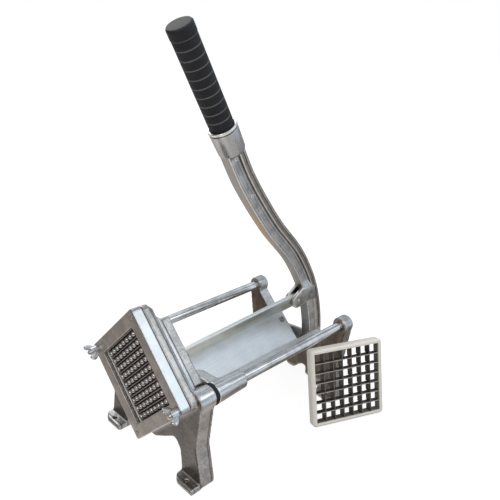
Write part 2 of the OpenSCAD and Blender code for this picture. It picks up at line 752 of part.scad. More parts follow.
// a strip of the arm between two distances from its centreline, positive to the rear
function arm_strip(d0, d1, first, last) = concat(
    [for (i = [first:last]) arm_line[i] + d0 * line_normal(arm_line, i)],
    [for (i = [last:-1:first]) arm_line[i] + d1 * line_normal(arm_line, i)]);

module clevis_lug() {
    lean = 32;             // direction of the lug's upper edge
    top = [clevis_y - clevis_r * sin(lean), clevis_h + clevis_r * cos(lean)];
    low = [clevis_y + clevis_r * sin(12), clevis_h - clevis_r * cos(12)];
    across_x(link_slot + 2 * clevis_ear_t) polygon([
        top, top + 15 * [cos(lean), sin(lean)], [clevis_y + 32, clevis_h + 14],
        [clevis_y + 36, clevis_h - 8], low + 18 * [cos(12), sin(12)], low
    ]);
    rod_x_at(0, clevis_y, clevis_h, link_slot + 2 * clevis_ear_t, clevis_r);
}
module in_grip_frame() {
    translate([0, pivot_y + grip_start[0], pivot_h + grip_start[1]]) rotate([grip_lean, 0, 0]) children();
}
module lever_arm() {
    last = len(arm_line) - 2;    // the arm ends inside the collar, below its rim
    recess_first = 3;
    recess_last = last - 4;
    half = arm_depth / 2;
    groove_half = 1;
    color("#a9a8a6") difference() {
        union() {
            difference() {
                union() {
                    across_x(arm_t) polygon(arm_strip(-half, half, 0, last));
                    rod_x_at(0, pivot_y, pivot_h, hub_w, hub_r);
                    clevis_lug();
                }
                for (side = [-1, 1]) {
                    translate([side * arm_t / 2, 0, 0]) across_x(2 * web_recess)
                        polygon(arm_strip(-half + 4.5, half - 10, recess_first, recess_last));
                    translate([side * arm_t / 2, 0, 0]) across_x(1.6)
                        polygon(arm_strip(half - 6 - groove_half, half - 6 + groove_half, recess_first, recess_last));
                }
                link_slot_cut();
            }
            in_grip_frame() translate([0, 0, -collar_len - 1])
                cylinder(h = collar_len, d1 = collar_d - 2, d2 = collar_d);
        }
        in_grip_frame() translate([0, 0, -collar_len * 0.75]) cylinder(h = collar_len, d = core_d + 2 * slide_fit);
        in_grip_frame() translate([0, 0, -collar_len * 0.45]) rotate([0, 90, 0])
            cylinder(h = 2 * collar_d, d = cross_pin_d, center = true);
        rod_x_at(0, pivot_y, pivot_h, hub_w + 2, pivot_d / 2 + slide_fit);
        rod_x_at(0, clevis_y, clevis_h, 40, link_pin_d / 2 + slide_fit);
    }
}
// the slot between the clevis ears, open to the front, above and below
module link_slot_cut() {
    across_x(link_slot) polygon([
        [clevis_y - 20, clevis_h - 22], [clevis_y + 11, clevis_h - 22], [clevis_y + 11, clevis_h + 5],
        [clevis_y + 7.5, clevis_h + 17.5], [clevis_y - 20, clevis_h + 30]
    ]);
}
cross_pin_d = 4;
module grip_core() {
    color("#8c8c8e") difference() {
        in_grip_frame() translate([0, 0, -collar_len * 0.75 + 0.2])
            cylinder(h = collar_len * 0.75 + grip_len - 4, d = core_d);
        in_grip_frame() translate([0, 0, -collar_len * 0.45]) rotate([0, 90, 0])
            cylinder(h = 2 * collar_d, d = cross_pin_d + 2 * slide_fit, center = true);
    }
}
module grip_cross_pin() {
    color("#8f8f92") in_grip_frame() translate([0, 0, -collar_len * 0.45]) rotate([0, 90, 0])
        cylinder(h = collar_d - 1, d = cross_pin_d, center = true);
}
groove_pitch = (body_len - groove_first) / groove_count;
module rubber_grip() {
    color("#232324") in_grip_frame() difference() {
        cylinder(h = body_len, d = grip_d);
        translate([0, 0, -1]) cylinder(h = body_len + 2, d = core_d + 2 * slide_fit);
        for (i = [0:groove_count - 1]) translate([0, 0, groove_first + i * groove_pitch - 0.6]) difference() {
            cylinder(h = 1.2, d = grip_d + 2);
            translate([0, 0, -1]) cylinder(h = 4, d = grip_d - 1.6);
        }
    }
}
module grip_end_cap() {
    color("#2a2a2b") in_grip_frame() translate([0, 0, body_len]) difference() {
        union() {
            cylinder(h = cap_len - 2, d = grip_d + 0.6);
            translate([0, 0, cap_len - 2 - eps]) cylinder(h = 2, d1 = grip_d + 0.6, d2 = grip_d - 2);
        }
        translate([0, 0, -1]) cylinder(h = cap_len - 2.8, d = core_d + 2 * slide_fit);
    }
}
module clevis_pin() {
    width = link_slot + 2 * clevis_ear_t;
    color("#b0b0b2") {
        rod_x_at(0, clevis_y, clevis_h, width, link_pin_d / 2);
        for (side = [-1, 1]) rod_x_at(side * (width / 2 + 0.5), clevis_y, clevis_h, 1 + eps, link_pin_d / 2 - 1);
    }
}
pivot_width = hub_w + 2 * ear_gap + 2 * ear_t;
module lever_pivot_bolt() {
    color("#9a9a9c") {
        rod_x_at(3, pivot_y, pivot_h, pivot_width + 14 - eps, pivot_d / 2);
        translate([-pivot_width / 2 - 6 + eps, pivot_y, pivot_h]) rotate([0, 90, 0])
            cylinder(h = 6, r = 9, $fn = 6);
    }
}
module lever_pivot_nut() {
    color("#9a9a9c") difference() {
        translate([pivot_width / 2, pivot_y, pivot_h]) rotate([0, 90, 0]) union() {
            cylinder(h = 1.5, r = 10);
            translate([0, 0, 1.5]) cylinder(h = 7, r = 9, $fn = 6);
        }
        rod_x_at(pivot_width / 2 + 5, pivot_y, pivot_h, 20, pivot_d / 2 + slide_fit);
    }
}

front_casting();
rear_casting();
guide_rod_left();
guide_rod_right();
rod_end_screws();
trough();
trough_screws();
bumper_rings();
locating_pins();
lever_pivot_bolt();
lever_pivot_nut();
cover_plate();
wing_nut_washers();
wing_nut_left();
wing_nut_right();
blade_frame();
blades_down();
blades_across();
push_block();
pusher_carriage();
sleeve_bushings();
block_screws();
carriage_link_pins();
link_bar();
lever_arm();
grip_core();
rubber_grip();
grip_end_cap();
grip_cross_pin();
clevis_pin();
spare_frame();
spare_blades_across();
spare_blades_down();
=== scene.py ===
# %% [markdown]
# # A lever-operated french fry cutter
# A potato lies in the trough, and pulling the lever drives a block of domed pins along two guide
# rods, which pushes the potato through a square grid of blades. The CAD model gives every body its
# place and its motion. This script dresses that model: soft cast edges, turned and threaded rods,
# ringed rubber, ground blade edges, and a material for every surface.

import bmesh
import bpy
import numpy as np
from mathutils import Matrix, Vector


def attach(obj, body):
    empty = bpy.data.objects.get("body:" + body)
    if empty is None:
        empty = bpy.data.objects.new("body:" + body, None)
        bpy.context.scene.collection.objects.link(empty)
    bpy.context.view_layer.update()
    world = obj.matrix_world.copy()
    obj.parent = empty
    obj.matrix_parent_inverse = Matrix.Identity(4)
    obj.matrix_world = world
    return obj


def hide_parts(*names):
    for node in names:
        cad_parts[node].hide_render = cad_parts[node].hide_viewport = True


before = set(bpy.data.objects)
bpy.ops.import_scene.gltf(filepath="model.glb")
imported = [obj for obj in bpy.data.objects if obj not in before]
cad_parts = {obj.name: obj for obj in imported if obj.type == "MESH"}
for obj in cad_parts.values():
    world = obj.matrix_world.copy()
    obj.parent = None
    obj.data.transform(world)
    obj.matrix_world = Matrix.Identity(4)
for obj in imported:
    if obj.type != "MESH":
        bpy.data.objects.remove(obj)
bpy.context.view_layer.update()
MM = 0.001

# %% [markdown]
# ## Places and sizes
# The script can't read the CAD source, so the few stations that the dressed pieces need are
# written here once, in millimetres. X is across the machine, Y runs from the blades to the lever
# and Z is up. The cutting head is a square turned by 45 degrees about Y.

# %% Stations of the machine
ROD_X, ROD_H, ROD_R = 77.0, 110.0, 6.0
HEAD_H, OPENING, CELLS = 111.5, 90.0, 9
COVER_Y, FLANGE_Y, FLANGE_T, SHOULDER_Y = -132.95, -120.95, 9.0, -109.95
NUT_Y = COVER_Y - 1.0
BOSS_END_Y, SLEEVE_Y, LEG_END_Y = -89.45, -85.95, -91.95
BLOCK_Y, CARRIAGE_Y = -99.95, -95.95
ROD_END_Y, TROUGH_Y, TROUGH_END_Y = 137.65, -106.95, 137.15
PIVOT = np.array([168.05, 27.0])
CLEVIS = PIVOT + [-43.0, 92.0]
LINK_FRONT = np.array([-70.95, HEAD_H])
GRIP_LEAN = np.radians(28.0)
GRIP_ORIGIN = np.array([0, *(PIVOT + [-177.0, 343.4])])
GRIP_AXIS = np.array([0, -np.sin(GRIP_LEAN), np.cos(GRIP_LEAN)])
LINK_TURN = float(np.arctan2(*(CLEVIS - LINK_FRONT)[::-1]))
ROOT_HALF = np.sqrt(0.5)
HEAD_AXES = tuple(np.array(a) for a in ((ROOT_HALF, 0, -ROOT_HALF), (0, 1.0, 0), (ROOT_HALF, 0, ROOT_HALF)))
print("pivot", PIVOT, "clevis", CLEVIS)

# %% [markdown]
# ## Meshes from arrays
# Each new piece is one or more grids of points. A grid is worked out as a whole array, its
# quads come from an array of indices, and the mesh takes both. Where a grid closes on itself or
# ends in a pole, its doubled points are welded. The sign of the enclosed volume says whether the
# faces point inwards, and such a grid is turned round before it is used.


# %% Grids to meshes
def grid_faces(shape, start):
    """Quad (i, j) joins points (i, j), (i+1, j), (i+1, j+1) and (i, j+1) of the grid."""
    k = start + np.arange(shape[0] * shape[1]).reshape(shape[:2])
    return np.stack([k[:-1, :-1], k[1:, :-1], k[1:, 1:], k[:-1, 1:]], -1).reshape(-1, 4)


def enclosed(points, quads):
    """Six times the volume inside, as the sum of a . (b x c) over both triangles of each quad."""
    a, b, c, d = (points[quads[:, i]] for i in range(4))
    return np.einsum("ij,ij->", a, np.cross(b, c)) + np.einsum("ij,ij->", a, np.cross(c, d))


def weld(mesh, distance=2e-6):
    """Joins doubled points, which closes seams and poles."""
    bm = bmesh.new()
    bm.from_mesh(mesh)
    bmesh.ops.remove_doubles(bm, verts=bm.verts, dist=distance)
    bm.to_mesh(mesh)
    bm.free()


def dress(name, mesh, body, finish, stands_for=(), angle=35):
    """Puts a mesh into the scene, smooth up to an angle, and lets it ride on its CAD body."""
    mesh.materials.clear()
    mesh.materials.append(finish.material)
    mesh.shade_smooth()
    mesh.set_sharp_from_angle(angle=np.radians(angle))
    ob = bpy.data.objects.new(name, mesh)
    bpy.context.scene.collection.objects.link(ob)
    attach(ob, body)
    if stands_for:
        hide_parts(*stands_for)
    return ob


def piece(name, grids, body, finish, stands_for=(), angle=35, marks=None):
    """Makes one object from grids of points in millimetres, with all faces outwards.

    Marks are named numbers, one for each point, that the finish reads back."""
    points, quads, start = [], [], 0
    for g in grids:
        flat = np.asarray(g, float).reshape(-1, 3)
        q = grid_faces(g.shape, 0)
        if enclosed(flat, q) < 0:
            q = q[:, ::-1]
        points.append(flat * MM)
        quads.append(q + start)
        start += len(flat)
    mesh = bpy.data.meshes.new(name)
    mesh.from_pydata(np.concatenate(points).tolist(), [], np.concatenate(quads).tolist())
    for key, values in (marks or {}).items():
        mark = mesh.attributes.new(key, "FLOAT", "POINT")
        mark.data.foreach_set("value", np.ravel(values).astype(np.float32))
    weld(mesh)
    mesh.validate()
    print(f"{name}: {len(mesh.polygons)} faces")
    return dress(name, mesh, body, finish, stands_for, angle)


# %% [markdown]
# ## Three ways to make a surface
# Many of the parts are turned, square, or cut from plate. So there are three makers: a profile
# turned about an axis, a section carried round a rounded square, and a plate with rounded edges.
# A grid that is open at its ends is closed by a point in the middle of each.


# %% Surface makers
def rounded_line(points, radii, steps=5):
    """A polyline with each inner corner replaced by an arc of its own radius, tangent to both sides."""
    pts = np.asarray(points, float)
    out = [pts[:1]]
    for a, b, c, r in zip(pts[:-2], pts[1:-1], pts[2:], radii):
        u, v = a - b, c - b
        lu, lv = np.linalg.norm(u), np.linalg.norm(v)
        u, v = u / lu, v / lv
        half = np.arccos(np.clip(u @ v, -1, 1)) / 2
        if r <= 0 or half > 1.55:
            out.append(b[None])
            continue
        reach = min(r / np.tan(half), 0.49 * lu, 0.49 * lv)
        t = np.linspace(0, 1, steps + 1)[:, None]
        start, end = b + u * reach, b + v * reach
        centre = b + (u + v) / np.linalg.norm(u + v) * reach / np.cos(half)
        arm = (1 - t) * (start - centre) + t * (end - centre)
        out.append(centre + arm / np.linalg.norm(arm, axis=1)[:, None] * reach * np.tan(half))
    out.append(pts[-1:])
    return np.concatenate(out)


def square_to(along):
    """Unit vectors in the plane of the given directions, each turned by 90 degrees from its own."""
    return np.stack([-along[:, 1], along[:, 0]], 1) / np.linalg.norm(along, axis=1)[:, None]


def capped(grid):
    """The grid with a row added at each end, all at the mean of its end row."""
    first, last = (np.broadcast_to(grid[i, :-1].mean(0), (1,) + grid.shape[1:]) for i in (0, -1))
    return np.concatenate([first, grid, last])


def turned(profile, origin, axis, around=48):
    """Point (s, a) = origin + axis * h(s) + r(s) * (cos a * e1 + sin a * e2)."""
    h, r = np.asarray(profile, float).T
    axis = np.asarray(axis, float) / np.linalg.norm(axis)
    side = np.array([1.0, 0, 0]) if abs(axis[0]) < 0.9 else np.array([0, 0, 1.0])
    e1 = np.cross(axis, side)
    e1 /= np.linalg.norm(e1)
    e2 = np.cross(axis, e1)
    a = np.linspace(0, 2 * np.pi, around + 1)
    ring = np.cos(a)[:, None] * e1 + np.sin(a)[:, None] * e2
    return np.asarray(origin, float) + h[:, None, None] * axis + r[:, None, None] * ring


def turned_solid(outline, radii, origin, axis, around=48):
    """A turned piece with rounded corners, whose outline is closed or ends on the axis."""
    return turned(rounded_line(outline, radii), origin, axis, around)


def square_ring(section, half, corner, centre, axes, steps=6):
    """A section of (inset, depth) points carried round a rounded square.

    At inset q the square has half side half - q and corner radius corner - q (never under 0.2),
    so a point is corner_centre + radius * (cos a, sin a), and depth runs along the second axis."""
    q, depth = np.asarray(section, float).T
    r = np.maximum(corner - q, 0.2)
    a = (np.arange(4)[:, None] * 90 + np.linspace(0, 90, steps + 1)).ravel()
    quarter = np.repeat(np.arange(4), steps + 1) * 90 + 45
    a, quarter = (np.radians(np.append(x, x[0])) for x in (a, quarter))
    reach = (half - q - r)[:, None]
    x = reach * np.sign(np.cos(quarter)) + r[:, None] * np.cos(a)
    z = reach * np.sign(np.sin(quarter)) + r[:, None] * np.sin(a)
    ex, ey, ez = axes
    return np.asarray(centre, float) + x[..., None] * ex + depth[:, None, None] * ey + z[..., None] * ez


def slab(outline, x0, x1, edge=0.8, steps=3):
    """A plate across X with rounded edges, from a convex outline in (Y, Z).

    Rows run from the middle of one face, over the edge by quarter arcs, to the middle of the other.
    An inset d moves each outline point d along the inward normal."""
    pts = np.asarray(outline, float)
    normal = square_to(np.roll(pts, -1, 0) - np.roll(pts, 1, 0))
    middle = pts.mean(0)
    if np.einsum("ij,ij->", normal, middle - pts) < 0:
        normal = -normal
    t = np.linspace(0, np.pi / 2, steps + 1)
    inset = np.concatenate([edge * (1 - np.sin(t)), edge * (1 - np.cos(t))])
    across = np.concatenate([x0 + edge * (1 - np.cos(t)), x1 - edge * (1 - np.sin(t))])
    rows = pts + inset[:, None, None] * normal
    cap = np.broadcast_to(middle, (1,) + pts.shape)
    rows = np.concatenate([cap, rows, cap])
    across = np.concatenate([[x0], across, [x1]])
    grid = np.concatenate([np.broadcast_to(across[:, None, None], rows.shape[:2] + (1,)), rows], 2)
    return np.concatenate([grid, grid[:, :1]], 1)


def arc(centre, r, a0, a1, n=24):
    """Points on a circle in (Y, Z) from angle a0 to a1, in degrees."""
    a = np.radians(np.linspace(a0, a1, n))
    return np.asarray(centre, float) + r * np.stack([np.cos(a), np.sin(a)], 1)


# %% [markdown]
# ## Cast parts
# A sand casting has no sharp edges: metal doesn't fill them, and tumbling rounds the rest. A bevel
# on each edge would need a clean mesh, which a CAD solid with many cut corners isn't. So the solid
# is welded, rebuilt from small cubes, and smoothed a little, which rounds every outer edge and
# fills every inner corner by about the same radius.


# %% Cast copies and eased copies
def worked_copy(node, name, body, finish, angle, modifiers):
    """Dresses a welded copy of a CAD node's mesh, after modifiers given by type and settings."""
    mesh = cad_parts[node].data.copy()
    weld(mesh, 1e-5)
    ob = bpy.data.objects.new("worked", mesh)
    bpy.context.scene.collection.objects.link(ob)
    for kind, settings in modifiers.items():
        modifier = ob.modifiers.new(kind, kind)
        for key, value in settings.items():
            setattr(modifier, key, value)
    result = bpy.data.meshes.new_from_object(ob.evaluated_get(bpy.context.evaluated_depsgraph_get()))
    bpy.data.objects.remove(ob)
    result.name = name
    print(f"{name}: {len(result.polygons)} faces")
    return dress(name, result, body, finish, [node], angle)


def cast_copy(node, name, body, finish, cube=1.2, rounds=5):
    """A CAD solid with the soft edges of a casting, rebuilt from cubes of that many millimetres."""
    return worked_copy(node, name, body, finish, 60, {
        "REMESH": {"mode": "VOXEL", "voxel_size": cube * MM},
        "SMOOTH": {"factor": 0.5, "iterations": rounds}})


def eased_copy(node, name, body, finish, edge=0.3):
    """A CAD solid whose edges are broken by a small bevel, as a file or tumbling leaves them."""
    return worked_copy(node, name, body, finish, 40, {
        "DECIMATE": {"decimate_type": "DISSOLVE", "angle_limit": np.radians(0.5)},
        "BEVEL": {"width": edge * MM, "segments": 2, "limit_method": "ANGLE",
                  "angle_limit": np.radians(38), "use_clamp_overlap": False}})


# %% [markdown]
# ## Materials as arithmetic
# A material here is a short sum of patterns. One class wraps a socket, so that an expression such
# as `1 - mask` adds the Math node for it, and one method makes any other node from its type, its
# settings and its inputs. All patterns read object coordinates, which are metres on the machine,
# so a scale of 1000 is a pattern of about a millimetre.


# %% Signals and finishes
def feed(tree, node, inputs):
    """Links a signal or sets a value on each named socket of a node. A colour gets its alpha."""
    for key, value in inputs.items():
        socket = node.inputs[key]
        if isinstance(value, Signal):
            tree.links.new(value.socket, socket)
        else:
            socket.default_value = (*value, 1) if socket.type == "RGBA" else value


class Signal:
    """A socket that adds a Math node when it meets an operator."""

    def __init__(self, tree, socket):
        self.tree, self.socket = tree, socket

    def math(self, operation, *values):
        node = self.tree.nodes.new("ShaderNodeMath")
        node.operation = operation
        feed(self.tree, node, dict(enumerate(values)))
        return Signal(self.tree, node.outputs[0])

    def __add__(self, other):
        return self.math("ADD", self, other)

    def __sub__(self, other):
        return self.math("SUBTRACT", self, other)

    def __rsub__(self, other):
        return self.math("SUBTRACT", other, self)

    def __mul__(self, other):
        return self.math("MULTIPLY", self, other)

    def __abs__(self):
        return self.math("ABSOLUTE", self)

    def __gt__(self, other):
        return self.math("GREATER_THAN", self, other)

    def __mod__(self, other):
        return self.math("FLOORED_MODULO", self, other)

    def most(self, other):
        return self.math("MAXIMUM", self, other)

    __radd__, __rmul__ = __add__, __mul__


class Maker:
    """Adds nodes to one node tree."""

    def __init__(self, tree):
        self.tree = tree

    def node(self, kind, settings=None, inputs=None, output=0):
        """Any node: its settings first, then socket values or links. A stops setting fills a ramp."""
        node = self.tree.nodes.new(kind)
        for key, value in (settings or {}).items():
            if key == "stops":
                ramp = node.color_ramp
                while len(ramp.elements) < len(value):
                    ramp.elements.new(1.0)
                for element, (at, colour) in zip(ramp.elements, value):
                    element.position, element.color = at, (*colour, 1)
            else:
                setattr(node, key, value)
        feed(self.tree, node, inputs or {})
        return Signal(self.tree, node.outputs[output])

    def blend(self, mask, a, b):
        """Colour a where the mask is 0, and b where it is 1."""
        return self.node("ShaderNodeMix", {"data_type": "RGBA"}, {0: mask, 6: a, 7: b}, 2)

    def step(self, signal, low, high):
        """0 below low and 1 above high, with a smooth slope between."""
        smooth = {"interpolation_type": "SMOOTHSTEP"}
        return self.node("ShaderNodeMapRange", smooth, {0: signal, 1: low, 2: high})


class Finish(Maker):
    """A material with one Principled shader. Its constants are set on the shader's own sockets."""

    def __init__(self, name, **constants):
        self.material = bpy.data.materials.new(name)
        self.material.use_nodes = True
        super().__init__(self.material.node_tree)
        self.shader = self.tree.nodes["Principled BSDF"]
        for key, value in constants.items():
            self.shader.inputs[key.replace("_", " ")].default_value = value
        self.where = self.node("ShaderNodeTexCoord", output=3)

    def mapped(self, scale=(1, 1, 1), turn=(0, 0, 0)):
        """Object coordinates, turned and then stretched."""
        turned_to = self.node("ShaderNodeMapping", None, {"Vector": self.where, "Rotation": turn})
        return self.node("ShaderNodeMapping", None, {"Vector": turned_to, "Scale": scale})

    def noise(self, size, detail=3.0, at=None):
        """Noise from 0 to 1 with features of about that many millimetres."""
        inputs = {"Vector": at or self.where, "Scale": 1 / (size * MM), "Detail": detail, "Roughness": 0.55}
        return self.node("ShaderNodeTexNoise", None, inputs)

    def along(self, axis, origin=(0, 0, 0)):
        """Distance along an axis from a point in millimetres, as a number in millimetres."""
        shift = tuple(float(-x * MM) for x in origin)
        moved = self.node("ShaderNodeVectorMath", {"operation": "ADD"}, {0: self.where, 1: shift})
        scaled = tuple(float(x / MM) for x in axis)
        return self.node("ShaderNodeVectorMath", {"operation": "DOT_PRODUCT"}, {0: moved, 1: scaled}, 1)

    def wear(self, **sockets):
        """Links what changes over the surface: Base_Color, Roughness, Metallic or Coat_Weight."""
        for key, value in sockets.items():
            self.tree.links.new(value.socket, self.shader.inputs[key.replace("_", " ")])
        return self

    def paint(self, mask, colour):
        """Lays a colour over the base colour that is linked so far, where the mask is 1."""
        under = Signal(self.tree, self.shader.inputs["Base Color"].links[0].from_socket)
        return self.wear(Base_Color=self.blend(mask, under, colour))

    def relief(self, height, depth):
        """A bump that many millimetres deep for a height from 0 to 1."""
        bump = self.node("ShaderNodeBump", None, {"Height": height, "Distance": depth * MM})
        self.tree.links.new(bump.socket, self.shader.inputs["Normal"])
        return self


# %% [markdown]
# ## Cast aluminium
# The castings are satin aluminium that has been tumbled: nearly even in colour, with slow cloudy
# changes, a fine sandy skin, and small pits. Colour, gloss and relief share the same noise, so that
# the pits are also darker and duller. Dirt stays in the joints of the head, and the holes in the foot
# tabs are painted dark as painted shade. The bosses and sleeves round the rods are buffed, and also
# painted brighter as a painted highlight. The front of the rear casting gets a brown painted shade.


# %% Cast finishes
# a pair is the two values between which a mask fades, and an R2 is a radius squared
SEAMS_Y = (FLANGE_Y, FLANGE_Y + FLANGE_T, CARRIAGE_Y)
FOOT_HOLE, HOLE_R2, HOLE_Z = (71.5, 118.8), (3.6, 5.4), (6.0, 8.0)
SLEEVE_R2, BUFFED_FROM_Y, BUFFED_TO_Y = (182.0, 200.0), (SHOULDER_Y, SHOULDER_Y + 1), (100.0, 101.0)
SHADED_FRONT_Y, SHADED_FRONT_Z = (126.2, 127.0), (14.0, 18.0)
COVER_RIM, COVER_CORNER = (59.6, 60.6), (54.5, 57.5)
COLLAR_GROOVE, COLLAR_LIP = -2.0, (-1.4, -1.0)


def joint_grime_hole_shade(f, x, y, z):
    """Dirt within a millimetre of the joints of the head, and painted shade in the foot tabs' holes."""
    grime = 0.0
    for at in SEAMS_Y:
        grime = (1 - f.step(abs(y - at), 0.4, 1.3)).most(grime)
    px, py = abs(x) - FOOT_HOLE[0], abs(y) - FOOT_HOLE[1]
    # painted shade: the inside of each foot tab's hole, below the tab's top, is darkened
    hole_shade = (1 - f.step(px * px + py * py, *HOLE_R2)) * (1 - f.step(z, *HOLE_Z))
    return (grime * 0.6).most(hole_shade * 0.6)


def buffed_boss_highlight(f, x, y, z):
    """1 on the buffed bosses and sleeves, cylinders about the rods behind the head's shoulder, where a
    painted highlight goes.
    """
    sx, sz = abs(x) - ROD_X, z - ROD_H
    near = 1 - f.step(sx * sx + sz * sz, *SLEEVE_R2)
    return near * f.step(y, *BUFFED_FROM_Y) * (1 - f.step(y, *BUFFED_TO_Y))


def cast_finish(name, dark, light, rough, streak=None, turn=(0, 0, 0), pits=0.25, wear_and_painted_light=False, depth=0.26):
    """Cast skin. A streak stretches part of its noise. With wear and painted light it gets grime in its
    joints, painted shade in the foot holes, and buffed bosses painted brighter as a highlight.
    """
    f = Finish(name, Metallic=1.0)
    clouds = f.noise(26, 3)
    skin = f.noise(1.5, 4)
    lines = f.noise(1.3 if streak else 4, 3, f.mapped(streak or (1, 1, 1), turn))
    tone = clouds * 0.35 + lines * 0.35 + skin * 0.30
    pit = f.step(f.noise(3.0, 2), 0.66, 0.78)
    height = skin * 0.5 + lines * 0.4 + f.noise(6, 2) * 0.6 - pit * 0.5
    f.wear(Base_Color=f.blend(f.step(tone, 0.38, 0.62), dark, light))
    f.paint(pit * pits, tuple(c * 0.4 for c in dark))
    if wear_and_painted_light:
        place = [f.along(axis) for axis in np.eye(3)]
        # dark grime in the head's joints, and painted shade in the foot tabs' holes
        f.paint(joint_grime_hole_shade(f, *place), (0.05, 0.045, 0.045))
        buffed_highlight = buffed_boss_highlight(f, *place)
        hair = f.step(f.noise(1.4, 3, f.mapped((1, 0.06, 1))), 0.35, 0.65)
        # the buffed bosses and sleeves are made smoother, and also painted brighter as a painted highlight
        f.paint(buffed_highlight * 0.8, f.blend(hair, (0.56, 0.565, 0.58), (0.84, 0.85, 0.87)))
        rough = rough - buffed_highlight * 0.12
        height = height * (1 - buffed_highlight * 0.75)
    f.wear(Roughness=rough + lines * 0.16 + pit * 0.2 - 0.06)
    return f.relief(height, depth)


def shaded_brown_front(f):
    """Adds a brown painted shade to the faces in the front plane of the rear casting, over its feet."""
    streak = f.noise(9.0, 4, f.mapped((1, 1, 0.35)))
    front = 1 - f.step(f.along((0, 1, 0)), *SHADED_FRONT_Y)
    over = f.step(f.along((0, 0, 1)), *SHADED_FRONT_Z)
    front_shade = f.blend(f.step(streak, 0.4, 0.62), (0.18, 0.160, 0.135), (0.31, 0.275, 0.225))
    # painted shade: the front faces are painted brown and darker, as they look in shade
    return f.paint(front * over * 0.9, front_shade)


def groove_dark_lip_highlight(f):
    """Darkens the groove round the collar and paints a highlight on the lip behind it."""
    h = f.along(GRIP_AXIS, GRIP_ORIGIN)
    f.paint((1 - f.step(abs(h - COLLAR_GROOVE), 0.5, 0.9)) * 0.8, (0.09, 0.085, 0.08))
    # painted highlight: the collar's lip is painted near white
    return f.paint(f.step(h, *COLLAR_LIP), (0.95, 0.95, 0.96))


CAST = cast_finish("cast_aluminium", (0.38, 0.37, 0.362), (0.66, 0.65, 0.64), 0.33, wear_and_painted_light=True)
CAST_TAIL = shaded_brown_front(cast_finish("tail_aluminium", (0.40, 0.395, 0.39), (0.68, 0.68, 0.68), 0.32, wear_and_painted_light=True))
CAST_LEVER = cast_finish("lever_aluminium", (0.38, 0.37, 0.36), (0.64, 0.63, 0.615), 0.30,
                         (1.0, 0.16, 0.16), (np.radians(-25), 0, 0))
CAST_COLLAR = groove_dark_lip_highlight(cast_finish("collar_aluminium", (0.50, 0.51, 0.52), (0.63, 0.645, 0.66), 0.26,
                                 (1, 1, 0.3), (-GRIP_LEAN, 0, 0), 0.1, depth=0.09))


def cover_skin():
    """A ground front, polished side faces, painted shade on the rounded corners, and grime where the cover
    meets the flange.
    """
    f = Finish("cover_aluminium", Metallic=1.0)
    x, z = (abs(f.along(HEAD_AXES[i], (0, 0, HEAD_H))) for i in (0, 2))
    y = f.along((0, 1, 0))
    hair = f.noise(1.2, 3, f.mapped((0.3, 1, 2.2), (0, np.radians(-45), 0)))
    clouds = f.noise(22, 4)
    tone = f.step(hair * 0.45 + clouds * 0.55, 0.36, 0.66)
    f.wear(Base_Color=f.blend(tone, (0.43, 0.41, 0.395), (0.68, 0.66, 0.65)))
    rim = f.step(x.most(z), *COVER_RIM)
    f.paint(rim, f.blend(tone, (0.66, 0.69, 0.71), (0.82, 0.855, 0.875)))
    # painted shade: the rounded corners of the square cover are painted a darker grey
    f.paint(f.step(x.math("MINIMUM", x, z), *COVER_CORNER) * 0.8, (0.42, 0.42, 0.42))
    f.paint((1 - f.step(abs(y - FLANGE_Y), 0.3, 1.2)) * 0.6, (0.05, 0.05, 0.055))
    f.wear(Roughness=0.33 + hair * 0.14 - rim * 0.06)
    return f.relief(hair * 0.6 + clouds * 0.3, 0.10)


CAST_COVER = cover_skin()
print("cast finishes ready")

# %% [markdown]
# ## Bright steel, sheet and plate
# Ground and drawn steel has hairlines along the direction it was worked. Stretching the noise
# along that direction, many times more than across it, gives the same streaked gloss. The rim of
# a thin plate gets painted highlights along its edges, which a mark on the plate's mesh brings out.


# %% Steel finishes
def worked_steel(name, dark, light, rough, stretch, turn=(0, 0, 0), depth=0.03, spread=0.08, size=0.9):
    """Steel with hairlines of a size in millimetres, whose tone and gloss follow them."""
    f = Finish(name, Metallic=1.0)
    hair = f.noise(size, 3, f.mapped(stretch, turn))
    cloud = f.noise(18, 2)
    f.wear(Base_Color=f.blend(f.step(hair * 0.6 + cloud * 0.4, 0.35, 0.65), dark, light))
    f.wear(Roughness=rough + hair * spread + cloud * spread * 0.5)
    return f.relief(hair, depth)


def edge_glint_lines(f, middle, half):
    """Painted highlight along both edges of a plate's rim: where the edge glint mark is high, and away from
    its middle plane.
    """
    rubbed = f.node("ShaderNodeAttribute", {"attribute_name": "rubbed"}, None, 2)
    between = 1 - f.step(abs(abs(f.along((1, 0, 0))) - middle), half - 1.5, half - 0.9)
    return f.step(rubbed, 0.86, 0.95) * (1 - between)


def edge_glint_mark(grid, bare=False):
    """1 on the rim of a slab and 0 at the middle of its faces, or 0 all over if it is bare."""
    rows = np.ones(grid.shape[0])
    rows[[0, -1]] = 0
    return np.repeat(rows * (not bare), grid.shape[1])


LINK_HALF_T = 3.0
# on the rods, the long dark and light streaks are drawn hairlines and also painted reflection of the room
CHROME = worked_steel("rod_chrome", (0.42, 0.405, 0.405), (0.96, 0.96, 0.97), 0.09, (1, 0.012, 1),
                      depth=0.012, spread=0.06, size=2.4)
SHEET = worked_steel("trough_sheet", (0.63, 0.65, 0.67), (0.73, 0.75, 0.775), 0.33, (1, 0.03, 1))
LINK = worked_steel("link_steel", (0.66, 0.68, 0.63), (0.82, 0.84, 0.79), 0.28, (1, 0.03, 1),
                    (-LINK_TURN, 0, 0))
